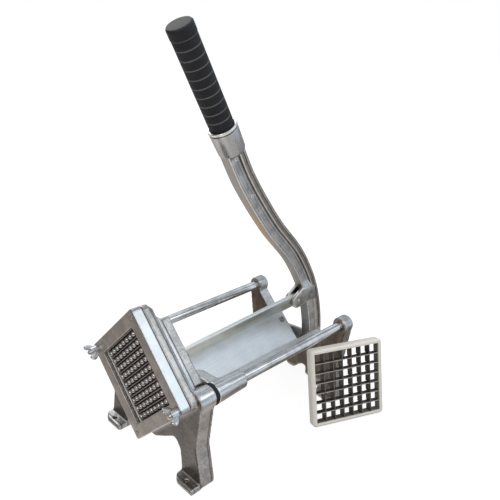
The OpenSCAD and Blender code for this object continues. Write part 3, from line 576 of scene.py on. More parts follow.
# painted highlight along both edges of the link bar's rim
LINK.paint(edge_glint_lines(LINK, 0.0, LINK_HALF_T) * 0.8, (0.97, 0.97, 0.95))
FASTENER = worked_steel("fastener_steel", (0.42, 0.42, 0.43), (0.62, 0.62, 0.63), 0.26, (1, 1, 1), depth=0.04)
PLATED = worked_steel("nut_plating", (0.56, 0.57, 0.58), (0.74, 0.75, 0.76), 0.22, (1, 1, 1), depth=0.05)
PINS = worked_steel("pin_metal", (0.52, 0.53, 0.54), (0.72, 0.73, 0.75), 0.24, (1, 0.2, 1), depth=0.04)
SCREWS = worked_steel("screw_steel", (0.22, 0.22, 0.225), (0.42, 0.42, 0.43), 0.20, (1, 1, 1), depth=0.05)
BRONZE = worked_steel("bushing_bronze", (0.42, 0.31, 0.15), (0.56, 0.43, 0.24), 0.30, (1, 0.2, 1))
print("steel finishes ready")


# %% [markdown]
# ## Rubber and cartridges
# The grip is moulded rubber: black and rough, with pale bands in the thin rings, and its flat end is
# painted lighter as painted light. The blade cartridges are cream moulded frames. The inside walls of
# their opening and the blades are dark, the walls painted darker with depth as painted shade. Only the
# ground front edges of the blades are bright, painted brighter on one set of blades than on the other
# as painted highlight. A mask for those places comes from the distance along the cartridge's own axes.


# %% Rubber and cartridge finishes
def rubber_finish(name, base, rough=0.62):
    """Black rubber with a fine grain and a thin cloudy film of dust."""
    f = Finish(name, Specular_IOR_Level=0.4)
    grain = f.noise(0.8, 4)
    dust = f.step(f.noise(14, 4), 0.45, 0.75)
    f.wear(Base_Color=f.blend(dust * 0.35, base, tuple(c * 2.2 + 0.006 for c in base)))
    f.wear(Roughness=rough + grain * 0.2 - 0.08)
    return f.relief(grain, 0.25)


RINGS, RING_FIRST, RING_PITCH = 9, 12.8, 93 / 9
RUBBER_LEN, GRIP_R = 105.8, 14.0
CAP_END = RUBBER_LEN + 12.2


def ringed_rubber(f):
    """Paints a pale band in the rings, about 1.4 mm wide at each multiple of the ring pitch."""
    h = f.along(GRIP_AXIS, GRIP_ORIGIN)
    ring = 1 - f.step(abs((h - RING_FIRST + RING_PITCH / 2) % RING_PITCH - RING_PITCH / 2), 0.5, 0.95)
    inside = (h > 4.0) * (RUBBER_LEN + 0.4 - h > 0.0)
    return f.paint(ring * inside * 0.8, (0.17, 0.17, 0.175))


def lit_cap_end(f):
    """Paints the flat end of the cap a lighter grey, as painted light on the face that looks up."""
    end = f.step(f.along(GRIP_AXIS, GRIP_ORIGIN), CAP_END - 1.0, CAP_END - 0.3)
    grey = f.blend(f.noise(3, 4), (0.055, 0.052, 0.046), (0.085, 0.082, 0.076))
    # painted light: the cap's end face is lighter than its dark sides
    return f.paint(end * 0.9, grey)


RUBBER = rubber_finish("bumper_rubber", (0.012, 0.012, 0.013))
GRIP_RUBBER = ringed_rubber(rubber_finish("grip_rubber", (0.0090, 0.0098, 0.0145), 0.54))
CAP_RUBBER = lit_cap_end(rubber_finish("cap_rubber", (0.0095, 0.0103, 0.0150), 0.5))


def cartridge_finish(name, centre, axes):
    """Cream frame with dark inner walls, which lie within half the opening on both axes, painted darker with
    depth as painted shade.
    """
    f = Finish(name, Specular_IOR_Level=0.45)
    x, y, z = (f.along(a, centre) for a in axes)
    wall = 1 - f.step(abs(x).most(abs(z)), OPENING / 2 + 0.15, OPENING / 2 + 0.5)
    deeper_shade = f.step(y, 0.4, 3.0)
    mottle = f.noise(9, 4)
    grime = f.step(f.noise(22, 5), 0.5, 0.72)
    f.wear(Base_Color=f.blend(mottle, (0.80, 0.775, 0.70), (0.86, 0.84, 0.78)))
    f.paint(grime * 0.22, (0.50, 0.46, 0.36))
    # dark inner walls, with painted shade that deepens away from the front
    f.paint(wall * (0.22 + deeper_shade * 0.68), (0.075, 0.055, 0.045))
    f.wear(Roughness=0.42 + mottle * 0.2)
    return f.relief(f.noise(2.2, 3), 0.12)


def blade_finish(name, centre, axes, edge_highlight):
    """Dark steel with brown patches. Its front edge, the first millimetre of its depth, is ground bright and
    painted lighter by the edge highlight, a painted highlight.
    """
    f = Finish(name)
    y = f.along(axes[1], centre)
    edge = 1 - f.step(y, 1.0, 1.9)
    brown_patches = f.noise(6, 4)
    f.wear(Base_Color=f.blend(f.step(brown_patches, 0.35, 0.7), (0.055, 0.040, 0.034), (0.15, 0.12, 0.105)))
    f.paint(edge * edge_highlight, (0.68, 0.67, 0.64))
    f.wear(Metallic=0.55 + edge * 0.4, Roughness=0.48 + brown_patches * 0.2 - edge * 0.2)
    return f.relief(brown_patches, 0.05)


FRAME_HALF, FRAME_WALL, FRAME_DEPTH, FRAME_BEVEL, FRAME_CORNER = 50.0, 5.0, 12.5, 2.0, 4.0
CARTRIDGE_SEAT, SPARE_FOOT = 6.5, (106.2, 56.0)
HEAD_CENTRE = np.array([0, FLANGE_Y - CARTRIDGE_SEAT, HEAD_H])
spare_turn, lean = np.radians(67.1), np.radians(14.5)
st, ct, sl, cl = np.sin(spare_turn), np.cos(spare_turn), np.sin(lean), np.cos(lean)
SPARE_AXES = (np.array([ct, st, 0]), np.array([-st * cl, ct * cl, -sl]), np.array([-st * sl, ct * sl, cl]))
SPARE_CENTRE = np.array([*SPARE_FOOT, FRAME_DEPTH * sl]) + FRAME_HALF * (SPARE_AXES[0] + SPARE_AXES[2])
FRAME_IN = cartridge_finish("cream_installed", HEAD_CENTRE, HEAD_AXES)
FRAME_SPARE = cartridge_finish("cream_spare", SPARE_CENTRE, SPARE_AXES)
# each set of blades gets its own amount of painted highlight on its front edges
DOWN_IN = blade_finish("blades_installed_0", HEAD_CENTRE, HEAD_AXES, 0.55)
ACROSS_IN = blade_finish("blades_installed_1", HEAD_CENTRE, HEAD_AXES, 0.06)
DOWN_SPARE = blade_finish("blades_spare_0", SPARE_CENTRE, SPARE_AXES, 0.15)
ACROSS_SPARE = blade_finish("blades_spare_1", SPARE_CENTRE, SPARE_AXES, 0.75)
print("rubber and cartridge finishes ready")

# %% [markdown]
# ## The castings and the cover
# Head, tail, carriage and cover are cast, so they are rebuilt soft. The cover's faces are ground
# after casting, so its cubes are smaller and its edges stay crisper.

# %% Castings
cast_copy("front_casting", "head_casting", "frame", CAST)
cast_copy("rear_casting", "tail_casting", "frame", CAST_TAIL)
cast_copy("pusher_carriage", "slide_carriage", "pusher", CAST, cube=0.9)
cast_copy("cover_plate", "head_cover", "cover", CAST_COVER, cube=0.8, rounds=4)

# %% [markdown]
# ## Guide rods
# Each rod is ground round bar with a stud turned at its front end. The stud's thread is a real
# helix: its radius rises and falls with the distance along the rod minus the share of a turn.


# %% Rods and threads
STUD_R, STUD_TIP_Y = 3.0, COVER_Y - 12
BUMPER_R, BUMPER_BORE, BUMPER_END_Y = 12.6, 6.1, SLEEVE_Y - 0.2


def threaded(x, y0, y1, r, pitch=1.0, depth=0.5, around=36):
    """Radius at (y, a) = r - depth * |2 * frac(y / pitch - a / 2 pi) - 1|, narrowed at the tip."""
    y = np.arange(y0, y1 + 1e-6, pitch / 6)[:, None]
    a = np.linspace(0, 2 * np.pi, around + 1)
    tooth = np.abs(2 * ((y / pitch - a / (2 * np.pi)) % 1) - 1)
    radius = (r - depth * tooth) * np.clip((y - y0 + 2.2) / 3.2, 0, 1)
    y, radius = np.pad(y, ((1, 1), (0, 0)), "edge"), np.pad(radius, ((1, 1), (0, 0)))
    return np.stack([x + radius * np.cos(a), y + 0 * a, ROD_H + radius * np.sin(a)], -1)


for side, which in ((-1, "left"), (1, "right")):
    origin = (side * ROD_X, 0, ROD_H)
    line = [(SHOULDER_Y, 0), (SHOULDER_Y, ROD_R), (ROD_END_Y, ROD_R), (ROD_END_Y, 0)]
    shaft = turned_solid(line, [0.8, 0.8], origin, (0, 1, 0), 64)
    stud = threaded(side * ROD_X, STUD_TIP_Y, SHOULDER_Y + 0.5, STUD_R)
    piece(f"{which}_rod", [shaft, stud], "frame", CHROME, [f"guide_rod_{which}"])
for side, name, stands_for in ((-1, "left_bumper", ["bumper_rings"]), (1, "right_bumper", [])):
    line = [(BOSS_END_Y, 8), (BOSS_END_Y, BUMPER_R), (BUMPER_END_Y, BUMPER_R), (BUMPER_END_Y, BUMPER_BORE),
            (BOSS_END_Y, BUMPER_BORE), (BOSS_END_Y, 8)]
    ring = turned_solid(line, [1.2, 1.2, 0.4, 0.4], (side * ROD_X, 0, ROD_H), (0, 1, 0), 56)
    piece(name, [ring], "frame", RUBBER, stands_for)

# %% [markdown]
# ## The trough
# The trough is one sheet, folded to a V with a flat lip along each wall. Its middle line is rounded
# at each bend, and a thin rectangle as long as the trough is carried along that line. At the lips it
# starts further back, behind the shoulders of the head casting.


# %% Folded trough
def folded_sheet(line, thick, start_y, end_y):
    """Corner k of the loop at line point s is line(s) +- normal * thick / 2 at its start or end Y."""
    pts = np.asarray(line, float)
    normal = square_to(np.gradient(pts, axis=0))
    up, down = pts + normal * thick / 2, pts - normal * thick / 2
    loop = ((up, start_y), (up, end_y), (down, end_y), (down, start_y), (up, start_y))
    corners = [np.stack([face[:, 0], np.broadcast_to(y, len(pts)), face[:, 1]], 1) for face, y in loop]
    return capped(np.stack(corners, 1))


FOLD_IN_Z, SHEET_T, V_HALF, LIP = 49.70, 1.2, 32.0, 10.0
FOLD_R, BEND_R = 3.5, 2.2
fold_z = FOLD_IN_Z - SHEET_T * ROOT_HALF
lip_z = FOLD_IN_Z + V_HALF - SHEET_T / 2
bend_x = lip_z - fold_z
right = [(bend_x, lip_z), (V_HALF + LIP, lip_z)]
bends = [(-x, z) for x, z in right[::-1]] + [(0, fold_z)] + right
middle = rounded_line(bends, [BEND_R, FOLD_R, BEND_R], 8)
start_y = np.where(np.abs(middle[:, 0]) > bend_x - 0.2, LEG_END_Y + 0.3, TROUGH_Y)
sheet = folded_sheet(middle, SHEET_T, start_y, TROUGH_END_Y)
piece("folded_trough", [sheet], "frame", SHEET, ["trough"])

# %% [markdown]
# ## Wing nuts and washers
# A wing nut is pressed: a tapered hub and two thumb wings that sweep out and forward and end in
# round pads. A wing is an ellipse carried along a bent line, which grows towards its tip.


# %% Wing nuts
def wing(side, mirror, tilt):
    """Point (s, a) = line(s) + wide(s) cos a * across + thick(s) sin a * (the nut's other axis)."""
    s = np.linspace(0, 1, 17)
    out = 3.2 + 8.2 * s - 1.2 * s**2
    ahead = 3.0 + 8.6 * s**1.35
    grow = np.sqrt(np.clip(1 - np.clip((s - 0.72) / 0.30, 0, 1) ** 2, 0, 1))
    grow[[0, -1]] = 0
    wide, thick = (3.3 + 1.1 * s) * grow, (2.1 - 0.5 * s) * grow
    a = np.linspace(0, 2 * np.pi, 21)
    line = np.stack([out, ahead], 1)
    across = square_to(np.gradient(line, axis=0))
    flat = line[:, None] + (wide[:, None] * np.cos(a))[..., None] * across[:, None]
    x, y, z = mirror * flat[..., 0], flat[..., 1], thick[:, None] * np.sin(a)
    c, d = np.cos(tilt), np.sin(tilt)
    return np.stack([side * ROD_X + x * c + z * d, NUT_Y - y, ROD_H - x * d + z * c], -1)


WING_TILT, HUB_LEN, HUB_BORE = np.radians(18), 8, 2.9
for side, which in ((-1, "left"), (1, "right")):
    tip_y = NUT_Y - HUB_LEN
    line = [(NUT_Y, 3.0), (NUT_Y, 5.5), (tip_y, 4.5), (tip_y, HUB_BORE), (NUT_Y, HUB_BORE)]
    hub = turned_solid(line, [0.5, 0.7, 0.3], (side * ROD_X, 0, ROD_H), (0, 1, 0), 40)
    nut = [hub] + [wing(side, m, WING_TILT) for m in (-1, 1)]
    piece(f"{which}_wing_nut", nut, f"nut_{which}", PLATED, [f"wing_nut_{which}"], angle=50)
eased_copy("wing_nut_washers", "stud_washers", "cover", FASTENER, 0.15)

# %% [markdown]
# ## Blade cartridges
# A cartridge is a square moulded ring with slots for the blades. Its front edges are bevelled
# 2 mm. The section of the ring runs round the square once. The blades themselves are flat, so
# their CAD solids are kept and only get their finish.

# %% Cartridge frames
w, d = FRAME_WALL, FRAME_DEPTH
section = rounded_line(
    [(2.6, 0), (w - 0.4, 0), (w, 0.4), (w, d - 0.3), (w - 0.3, d), (0.5, d), (0, d - 0.5),
     (0, FRAME_BEVEL), (FRAME_BEVEL, 0), (2.6, 0)],
    [0.3, 0.2, 0.2, 0.2, 0.4, 0.4, 0.5, 0.5], 3)
for name, centre, axes, body, finish, node in (
    ("installed_ring", HEAD_CENTRE, HEAD_AXES, "cartridge", FRAME_IN, "blade_frame"),
    ("spare_ring", SPARE_CENTRE, SPARE_AXES, "spare", FRAME_SPARE, "spare_frame"),
):
    ring = square_ring(section, FRAME_HALF, FRAME_CORNER, centre, axes)
    piece(name, [ring], body, finish, [node], angle=30)

# %% [markdown]
# ## The pusher block
# Eighty-one pins stand on a plate, in step with the cells of the blade grid. One turned pin is
# worked out, and its array is added to the array of places. Each pin has fewer than a hundred
# faces, because there are so many.

# %% Pusher block
PIN_R, PIN_LEN = 3.2, 29.0
PLATE_HALF, PLATE_T = 43.0, 4.0
t = np.linspace(0, np.pi / 2, 5)
dome = np.stack([BLOCK_Y - PIN_LEN + PIN_R * (1 - np.cos(t)), PIN_R * np.sin(t)], 1)
foot = [(BLOCK_Y + 0.2, PIN_R), (BLOCK_Y + 0.2, 0)]
pin = turned(np.concatenate([dome, foot]), (0, 0, HEAD_H), (0, 1, 0), 14)
places = (np.arange(CELLS) - (CELLS - 1) / 2) * OPENING / CELLS
pins = [pin + i * HEAD_AXES[0] + k * HEAD_AXES[2] for i in places for k in places]
line = [(PLATE_HALF, 0), (0.4, 0), (0, 0.4), (0, PLATE_T - 0.1), (0.2, PLATE_T), (PLATE_HALF, PLATE_T)]
section = rounded_line(line, [0.3, 0.3, 0.2, 0.2], 2)
section[:, 0] = np.minimum(section[:, 0], PLATE_HALF - 0.2)
plate = capped(square_ring(section, PLATE_HALF, 1.0, (0, BLOCK_Y, HEAD_H), HEAD_AXES, 3))
piece("pin_block", [plate] + pins, "pusher", PINS, ["push_block"])

# %% [markdown]
# ## The link bar
# The link is flat bar with round ends, its edges broken. The outline is two half circles joined by
# straight sides. The pins fill its holes and cover them, so the bar is left whole.

# %% Link bar
LINK_R = 8.0
slope = np.degrees(LINK_TURN)
ends = [arc(at, LINK_R, slope + a, slope + a + 180, 21) for at, a in ((LINK_FRONT, 90), (CLEVIS, -90))]
bar = slab(np.concatenate(ends), -LINK_HALF_T, LINK_HALF_T, 1.1, 4)
piece("link_flat_bar", [bar], "link", LINK, ["link_bar"], marks={"rubbed": edge_glint_mark(bar)})

# %% [markdown]
# ## The lever
# The arm is cast with a web: a wide shallow recess between two rims, and a narrow groove near the
# back edge. That section is the same nearly all along, so the arm is a section carried along a
# smooth curve through the lever's knots. The groove fades out at both ends, and the recess at the
# top and above the clevis.

# %% Lever arm
KNOTS = np.array([[0, 0], [-5, 53], [-20, 105.5], [-51, 159.6], [-97, 213], [-139, 272],
                  [-161.5, 313], [-177, 343.4]], float)
ARM_HALF_W, ARM_HALF_T, ARM_EDGE = 13.0, 7.5, 1.6
WEB_DEPTH, GROOVE_DEPTH = 3.5, 1.6
HUB_HALF, HUB_R = 14, 15


def through(knots, steps):
    """Catmull-Rom: 0.5 (2b + (c-a)t + (2a-5b+4c-d)t^2 + (3b-a-3c+d)t^3) between knots b and c."""
    p = np.concatenate([2 * knots[:1] - knots[1:2], knots, knots[-1:]])
    a, b, c, d = (p[i:len(p) - 3 + i, None] for i in range(4))
    t = (np.arange(steps) / steps)[None, :, None]
    body = 0.5 * (2 * b + (c - a) * t + (2 * a - 5 * b + 4 * c - d) * t**2 + (3 * b - a - 3 * c + d) * t**3)
    return np.concatenate([body.reshape(-1, 2), knots[-1:]])


def ease_step(x, low, high):
    """3u^2 - 2u^3 with u from 0 at low to 1 at high."""
    u = np.clip((x - low) / (high - low), 0, 1)
    return u * u * (3 - 2 * u)


def arm_surface():
    """Point (s, j) = line(s) + across(j) * normal(s), at X = +-(half thickness - web - groove - edge).

    Returns the grid, and across(j) in millimetres for each point as its mark."""
    line = PIVOT + through(KNOTS, 18)
    normal = -square_to(np.gradient(line, axis=0))
    far = np.concatenate([[0], np.cumsum(np.linalg.norm(np.diff(line, axis=0), axis=1))])
    open_ = (ease_step(far, 26, 36) * (1 - ease_step(far, far[-1] - 38, far[-1] - 30)))[:, None]
    web_open = open_ * ease_step(far, 108, 122)[:, None]
    half, edge = ARM_HALF_W, ARM_EDGE
    q = np.linspace(0, np.pi / 2, 6)
    inner = [np.linspace(*rows) for rows in ((-11.2, -8.6, 12), (-8, 0.6, 10), (1.0, 11.2, 42))]
    across = np.concatenate([-half + edge * (1 - np.cos(q)), *inner, half - edge * (1 - np.sin(q))])
    over = np.clip(np.abs(across) - (half - edge), 0, edge)
    rounding = edge - np.sqrt(edge**2 - over**2)
    web = WEB_DEPTH * ease_step(across, -11.0, -9.6) * (1 - ease_step(across, 2.0, 3.4))
    groove = GROOVE_DEPTH * ease_step(across, 4.9, 5.7) * (1 - ease_step(across, 9.0, 9.8))
    x = ARM_HALF_T - rounding - web * web_open - groove * open_
    points = line[:, None] + across[:, None] * normal[:, None]
    right_side = np.concatenate([x[..., None], points], 2)
    left_side = right_side[:, ::-1] * [-1, 1, 1]
    grid = capped(np.concatenate([right_side, left_side, right_side[:, :1]], 1)[:-2])
    mark = np.concatenate([across, across[::-1], across[:1]])
    return grid, np.broadcast_to(mark, grid.shape[:2])


WEB_MARKS = ((8.8, 333.5), (34.9, 285.6))


def ejector_mark_glints(f, places, radius):
    """Thin rings of painted glint round places in (Y, Z): 1 where the distance is near the radius."""
    y, z = f.along((0, 1, 0)), f.along((0, 0, 1))
    rings = 0.0
    for a, b in places:
        squared = (y - a) * (y - a) + (z - b) * (z - b)
        far = squared.math("SQRT", squared)
        rings = (1 - f.step(abs(far - radius), 0.4, 0.9)).most(rings)
    return rings


def lever_skin():
    """Polished rims with painted highlight lines on their crests, a grey sandy web with painted shade on its
    walls, a darker brown groove, and golden brown patches on the front face.
    """
    f = Finish("lever_aluminium_ribbed", Metallic=1.0)
    across = f.node("ShaderNodeAttribute", {"attribute_name": "across"}, None, 2)
    depth, height = ARM_HALF_T - abs(f.along((1, 0, 0))), f.along((0, 0, 1))
    sand, cloud = f.noise(1.1, 3), f.noise(20, 3)
    hair = f.noise(1.4, 3, f.mapped((1, 0.14, 0.14), (np.radians(-30), 0, 0)))
    bands = {"W": across * 0.5, "Scale": 1.0, "Detail": 4.0}
    streak = f.node("ShaderNodeTexNoise", {"noise_dimensions": "1D"}, bands)
    tone = f.step(sand * 0.2 + cloud * 0.2 + hair * 0.15 + streak * 0.45, 0.42, 0.58)
    rims = f.step(hair * 0.4 + streak * 0.6, 0.40, 0.60)
    f.wear(Base_Color=f.blend(rims, (0.42, 0.41, 0.395), (0.80, 0.79, 0.77)))
    web = f.step(depth, 0.6, 1.6) * (1 - f.step(across, 2.2, 3.2))
    f.paint(web, f.blend(tone, (0.34, 0.345, 0.355), (0.74, 0.745, 0.745)))
    band = f.step(across, 5.0, 5.8) * (1 - f.step(across, 8.9, 9.7)) * f.step(depth, 0.4, 1.0)
    f.paint(band * 0.85, f.blend(tone, (0.24, 0.205, 0.175), (0.46, 0.42, 0.37)))
    # painted shade on the steep walls of the recess and the groove
    wall = (1 - f.step(abs(across - 2.9), 0.3, 1.0)).most(1 - f.step(abs(across - 9.4), 0.2, 0.8))
    f.paint(wall * f.step(depth, 0.25, 1.0) * 0.8, (0.07, 0.06, 0.055))
    front = 1 - f.step(across, -12.7, -12.1)
    brown_patches = f.step(height, 195, 225) * (1 - f.step(height, 262, 300)) * f.step(cloud, 0.3, 0.6)
    f.paint(front * 0.75, f.blend(brown_patches, (0.50, 0.485, 0.46), (0.60, 0.43, 0.25)))
    # painted highlight lines along the crest of the front rim and the ridge between recess and groove
    crest_highlight = (1 - f.step(abs(across + 11.8), 0.5, 1.1)).most(1 - f.step(abs(across - 4.1), 0.3, 0.7))
    f.paint(crest_highlight * 0.85, (0.92, 0.91, 0.89))
    # painted glint: thin white rings at the ejector marks on the web
    f.paint(ejector_mark_glints(f, WEB_MARKS, 1.7) * web, (0.90, 0.90, 0.90))
    f.wear(Roughness=0.30 + sand * 0.16 - crest_highlight * 0.1)
    return f.relief(sand * 0.6 + hair * 0.3, 0.22)


surface, across_mark = arm_surface()
piece("lever_casting", [surface], "lever", lever_skin(), ["lever_arm"], angle=50,
      marks={"across": across_mark})
line = [(-HUB_HALF, 0), (-HUB_HALF, HUB_R), (HUB_HALF, HUB_R), (HUB_HALF, 0)]
hub = turned_solid(line, [1.2, 1.2], (0, *PIVOT), (1, 0, 0), 64)
piece("lever_hub", [hub], "lever", CAST_LEVER)

# %% [markdown]
# ## The clevis
# Two ears stand off the arm and hold the back end of the link on a pin. Each ear is a plate with
# a round end and painted highlights on its edges, and a short root joins both to the arm behind the slot.

# %% Clevis ears
EAR_R, EAR_IN, EAR_OUT, ROOT_X = 10.5, 3.5, 8.0, 4.2
EAR_MARK, MOUTH_Y = (150.8, 120.0), (138.0, 147.0)
low, tail_low, tail_top, top = CLEVIS + np.array([[19.8, -6.6], [36, -8], [32, 14], [7.2, 16.8]])
ear = np.concatenate([arc(CLEVIS, EAR_R, 122, 282, 26), np.linspace(low, tail_low, 5),
                      np.linspace(tail_low, tail_top, 5)[1:], np.linspace(tail_top, top, 6)[1:]])
root = CLEVIS + np.array([[11, -7.8], [36, -8], [32, 14], [9, 17.0], [8.6, 12]])


def clevis_skin():
    """Cast grey, with painted highlights on the edges where the mark is 1, painted shade in the slot, and one
    painted glint as a round mark.
    """
    f = Finish("clevis_aluminium", Metallic=1.0)
    sand, cloud = f.noise(1.3, 4), f.noise(9, 3)
    tone = f.step(sand * 0.5 + cloud * 0.5, 0.38, 0.62)
    f.wear(Base_Color=f.blend(tone, (0.32, 0.315, 0.305), (0.64, 0.63, 0.61)))
    inside = 1 - f.step(abs(f.along((1, 0, 0))), EAR_IN - 0.1, EAR_IN + 0.7)
    # painted shade: the inner faces of the slot between the ears are painted near black
    f.paint(inside * 0.8, (0.07, 0.065, 0.06))
    ahead = 1 - f.step(f.along((0, 1, 0)), *MOUTH_Y)
    lines = edge_glint_lines(f, (EAR_OUT + EAR_IN) / 2, (EAR_OUT - EAR_IN) / 2)
    bright = (lines * ahead).most(ejector_mark_glints(f, (EAR_MARK,), 0.3))
    # painted highlights on the ears' front edges, and a painted glint on the round mark
    f.paint(bright * 0.9, (0.95, 0.95, 0.95))
    f.wear(Roughness=0.32 + sand * 0.16 - bright * 0.08)
    return f.relief(sand, 0.2)


ears = [slab(ear, EAR_IN, EAR_OUT, 0.9), slab(ear, -EAR_OUT, -EAR_IN, 0.9)]
bridge = slab(root, -ROOT_X, ROOT_X, 0.8)
rubbed = np.concatenate([edge_glint_mark(ears[0]), edge_glint_mark(ears[1]), edge_glint_mark(bridge, bare=True)])
piece("clevis_ears", ears + [bridge], "lever", clevis_skin(), angle=45, marks={"rubbed": rubbed})

# %% [markdown]
# ## Collar and grip
# The arm ends in a cast collar that holds a steel core, with a groove and a lip round its end. A
# ringed rubber sleeve and a flat end cap are pushed over the core. The grooves are part of the
# turned profile, and each has a small lip.

# %% Collar, rubber and cap
GRIP_BORE, CAP_R = 9.6, GRIP_R + 0.3
GROOVE = ((-1.6, 0.1), (-0.8, 0.0), (-0.45, 0.8), (0.45, 0.8), (0.8, 0.0), (1.6, 0.1))
line = [(-32, 0), (-32, 15.6), (-3.0, 16.6), (-2.4, 15.7), (-1.7, 15.7), (-1.1, 16.9), (1.6, 16.9),
        (2.0, 16.4), (2.0, 14.3), (-0.2, 14.2), (-0.2, 0)]
collar = turned_solid(line, [3.0, 0.4, 0.3, 0.3, 0.6, 0.5, 0.3, 0.4, 0.2], GRIP_ORIGIN, GRIP_AXIS, 64)
piece("grip_collar", [collar], "lever", CAST_COLLAR)
line = [(0, GRIP_BORE), (0, GRIP_R - 1.0), (1.0, GRIP_R - 0.1)]
for i in range(RINGS):
    line += [(RING_FIRST + i * RING_PITCH + a, GRIP_R - b) for a, b in GROOVE]
line += [(RUBBER_LEN - 0.6, GRIP_R - 0.1), (RUBBER_LEN, GRIP_R - 0.6)]
line += [(RUBBER_LEN, GRIP_BORE), (0, GRIP_BORE)]
rubber = turned(rounded_line(line, [0.4] * (len(line) - 2), 2), GRIP_ORIGIN, GRIP_AXIS, 64)
piece("ringed_grip", [rubber], "lever", GRIP_RUBBER, ["rubber_grip"], angle=60)
line = [(RUBBER_LEN, 0), (RUBBER_LEN, CAP_R), (CAP_END - 2, CAP_R), (CAP_END, GRIP_R - 1.0), (CAP_END, 0)]
cap = turned_solid(line, [0.6, 1.5, 0.8], GRIP_ORIGIN, GRIP_AXIS, 64)
piece("grip_cap", [cap], "lever", CAP_RUBBER, ["grip_end_cap"])

# %% [markdown]
# ## Small fasteners
# Screws, pins and the pivot bolt keep their CAD shapes with their edges broken, because at their
# size only the light on an edge shows. The blades, bushings, core and cross pin are CAD solids as
# they are, with a finish.

# %% Fasteners
for node, name, body, finish in (
    ("rod_end_screws", "end_screws", "frame", FASTENER),
    ("trough_screws", "slotted_screws", "frame", SCREWS),
    ("locating_pins", "dowel_pins", "frame", FASTENER),
    ("lever_pivot_bolt", "pivot_bolt", "frame", FASTENER),
    ("lever_pivot_nut", "pivot_nut", "frame", FASTENER),
    ("block_screws", "plate_screws", "pusher", FASTENER),
    ("carriage_link_pins", "front_link_pins", "pusher", FASTENER),
    ("clevis_pin", "rear_link_pin", "lever", PLATED),
):
    eased_copy(node, name, body, finish)
kept_as_cut = {
    "blades_down": DOWN_IN, "blades_across": ACROSS_IN, "spare_blades_down": DOWN_SPARE,
    "spare_blades_across": ACROSS_SPARE, "sleeve_bushings": BRONZE, "grip_core": FASTENER,
    "grip_cross_pin": FASTENER}
for node, finish in kept_as_cut.items():
    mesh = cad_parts[node].data
    for i in range(len(mesh.materials)):
        mesh.materials[i] = finish.material
print("fasteners eased and plain nodes finished")

# %% [markdown]
# ## Floor, world and lamps
# Polished metal shows what is around it, so the room matters more than the lamps. In reflections
# the world is a ring of light and dark strips, cool where bright and warm where dark, over a pale
# floor. The camera sees white, and the floor glows for it alone, so that it takes a faint shadow.

# %% Floor
bpy.ops.mesh.primitive_plane_add(size=8, location=(0, 0, -0.0006))
floor = bpy.context.object
floor.name = "studio_floor"
floor.visible_glossy = False
ground = Finish("floor", Roughness=0.9, Specular_IOR_Level=0.0)
pale = ground.noise(300, 2)
ground.wear(Base_Color=ground.blend(pale, (0.30, 0.30, 0.30), (0.34, 0.34, 0.34)))
glow = ground.node("ShaderNodeEmission", None, {"Color": (1.0, 1.0, 1.0), "Strength": 0.86})
bare = Signal(ground.tree, ground.shader.outputs[0])
both = ground.node("ShaderNodeAddShader", None, {0: bare, 1: glow})
seen = ground.node("ShaderNodeLightPath")
mixed = ground.node("ShaderNodeMixShader", None, {0: seen, 1: bare, 2: both})
ground.tree.links.new(mixed.socket, ground.tree.nodes["Material Output"].inputs["Surface"])
floor.data.materials.append(ground.material)

# %% World
world = bpy.data.worlds.new("studio")
bpy.context.scene.world = world
world.use_nodes = True
room = Maker(world.node_tree)
way = room.node("ShaderNodeTexCoord")
x, y, z = (room.node("ShaderNodeSeparateXYZ", None, {"Vector": way}, i) for i in range(3))
STRIPS = [  # the angle about Y in degrees, and how bright the room is there
    (-180, 0.22), (-140, 0.36), (-120, 0.36), (-94, 0.34), (-66, 0.52), (-52, 0.72), (-18, 0.72),
    (-4, 0.64), (10, 0.46), (24, 0.32), (33, 0.74), (58, 0.78), (67, 0.42), (76, 0.80), (98, 0.86),
    (109, 0.55), (122, 0.30), (131, 0.17), (150, 0.14), (180, 0.22)]


def tinted(value):
    """A grey made warm where it is dark and cool where it is bright."""
    t = min(max((value - 0.2) / 0.5, 0), 1)
    return tuple(value * ((1 - t) * a + t * b) for a, b in zip((1.12, 0.98, 0.88), (0.86, 0.98, 1.08)))


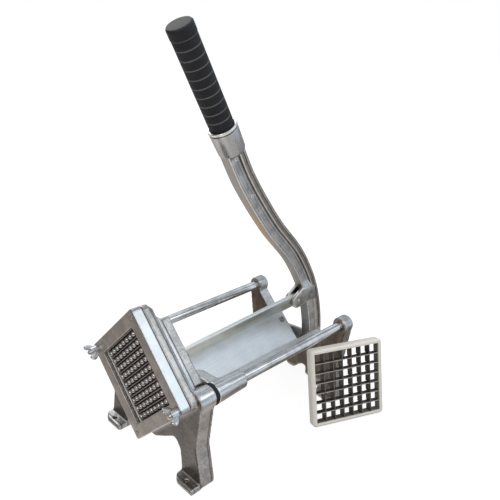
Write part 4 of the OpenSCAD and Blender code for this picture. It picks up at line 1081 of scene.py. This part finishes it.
around = x.math("ARCTAN2", x, z) * (0.5 / np.pi) + 0.5
stops = [((angle + 180) / 360, tinted(value)) for angle, value in STRIPS]
strips = room.node("ShaderNodeValToRGB", {"stops": stops}, {0: around})
near_floor = (1 - room.step(y, 0.45, 0.62)) * (1 - room.step(z, -0.4, -0.1))
glossy = room.blend(near_floor, strips, (0.62, 0.585, 0.56))
front = room.blend(room.step(y, -0.66, -0.54), (0.15, 0.115, 0.08), (0.40, 0.36, 0.33))
front = room.blend(1 - room.step(z, -0.69, -0.59), front, (0.84, 0.785, 0.75))
glossy = room.blend(1 - room.step(y, -0.35, -0.05), glossy, front)
from_camera = room.node("ShaderNodeLightPath")
mirrored = room.node("ShaderNodeLightPath", output="Is Glossy Ray")
colour = room.blend(mirrored, (0.72, 0.72, 0.72), glossy)
colour = room.blend(from_camera, colour, (1.0, 1.0, 1.0))
back = world.node_tree.nodes["Background"]
world.node_tree.links.new(colour.socket, back.inputs["Color"])
back.inputs["Strength"].default_value = 1.0


# %% Lamps
def lamp(name, where, aim, size, energy, colour=(1, 1, 1)):
    """A square soft box at a place in metres, turned towards its aim."""
    data = bpy.data.lights.new(name, "AREA")
    data.size, data.energy, data.color = size, energy, colour
    ob = bpy.data.objects.new(name, data)
    bpy.context.scene.collection.objects.link(ob)
    away = Vector(where) - Vector(aim)
    ob.matrix_world = Matrix.Translation(where) @ away.to_track_quat("Z", "Y").to_matrix().to_4x4()


lamp("key_box", (0.9, 0.5, 1.3), (0.0, 0.0, 0.15), 0.9, 2.2, (0.97, 0.99, 1.0))
lamp("front_box", (0.4, -1.3, 0.9), (0.0, 0.0, 0.15), 1.0, 6.0)
lamp("left_box", (-1.2, 0.2, 1.0), (0.0, 0.0, 0.2), 0.8, 3.0)

# %% [markdown]
# ## Camera
# The camera looks down at the head from the front right, and is turned a little about its own
# axis. Its three axes come straight from its heading, pitch and roll.

# %% Camera
CAMERA_AT, LENS = (0.48416, -0.43554, 0.51094), 44.157
yaw, pitch, roll = np.radians([45.65, -23.55, 1.82])
ahead = np.array([-np.sin(yaw) * np.cos(pitch), np.cos(yaw) * np.cos(pitch), np.sin(pitch)])
level = np.array([np.cos(yaw), np.sin(yaw), 0])
upward = np.cross(level, ahead)
side_way = np.cos(roll) * level + np.sin(roll) * upward
up_way = -np.sin(roll) * level + np.cos(roll) * upward
camera_data = bpy.data.cameras.new("camera")
camera_data.lens, camera_data.sensor_width, camera_data.clip_start = LENS, 36.0, 0.05
camera = bpy.data.objects.new("camera", camera_data)
bpy.context.scene.collection.objects.link(camera)
matrix = np.eye(4)
matrix[:3, :3] = np.stack([side_way, up_way, -ahead], 1)
matrix[:3, 3] = CAMERA_AT
camera.matrix_world = Matrix(matrix.tolist())
bpy.context.scene.camera = camera
bpy.context.scene.view_settings.view_transform = "Standard"
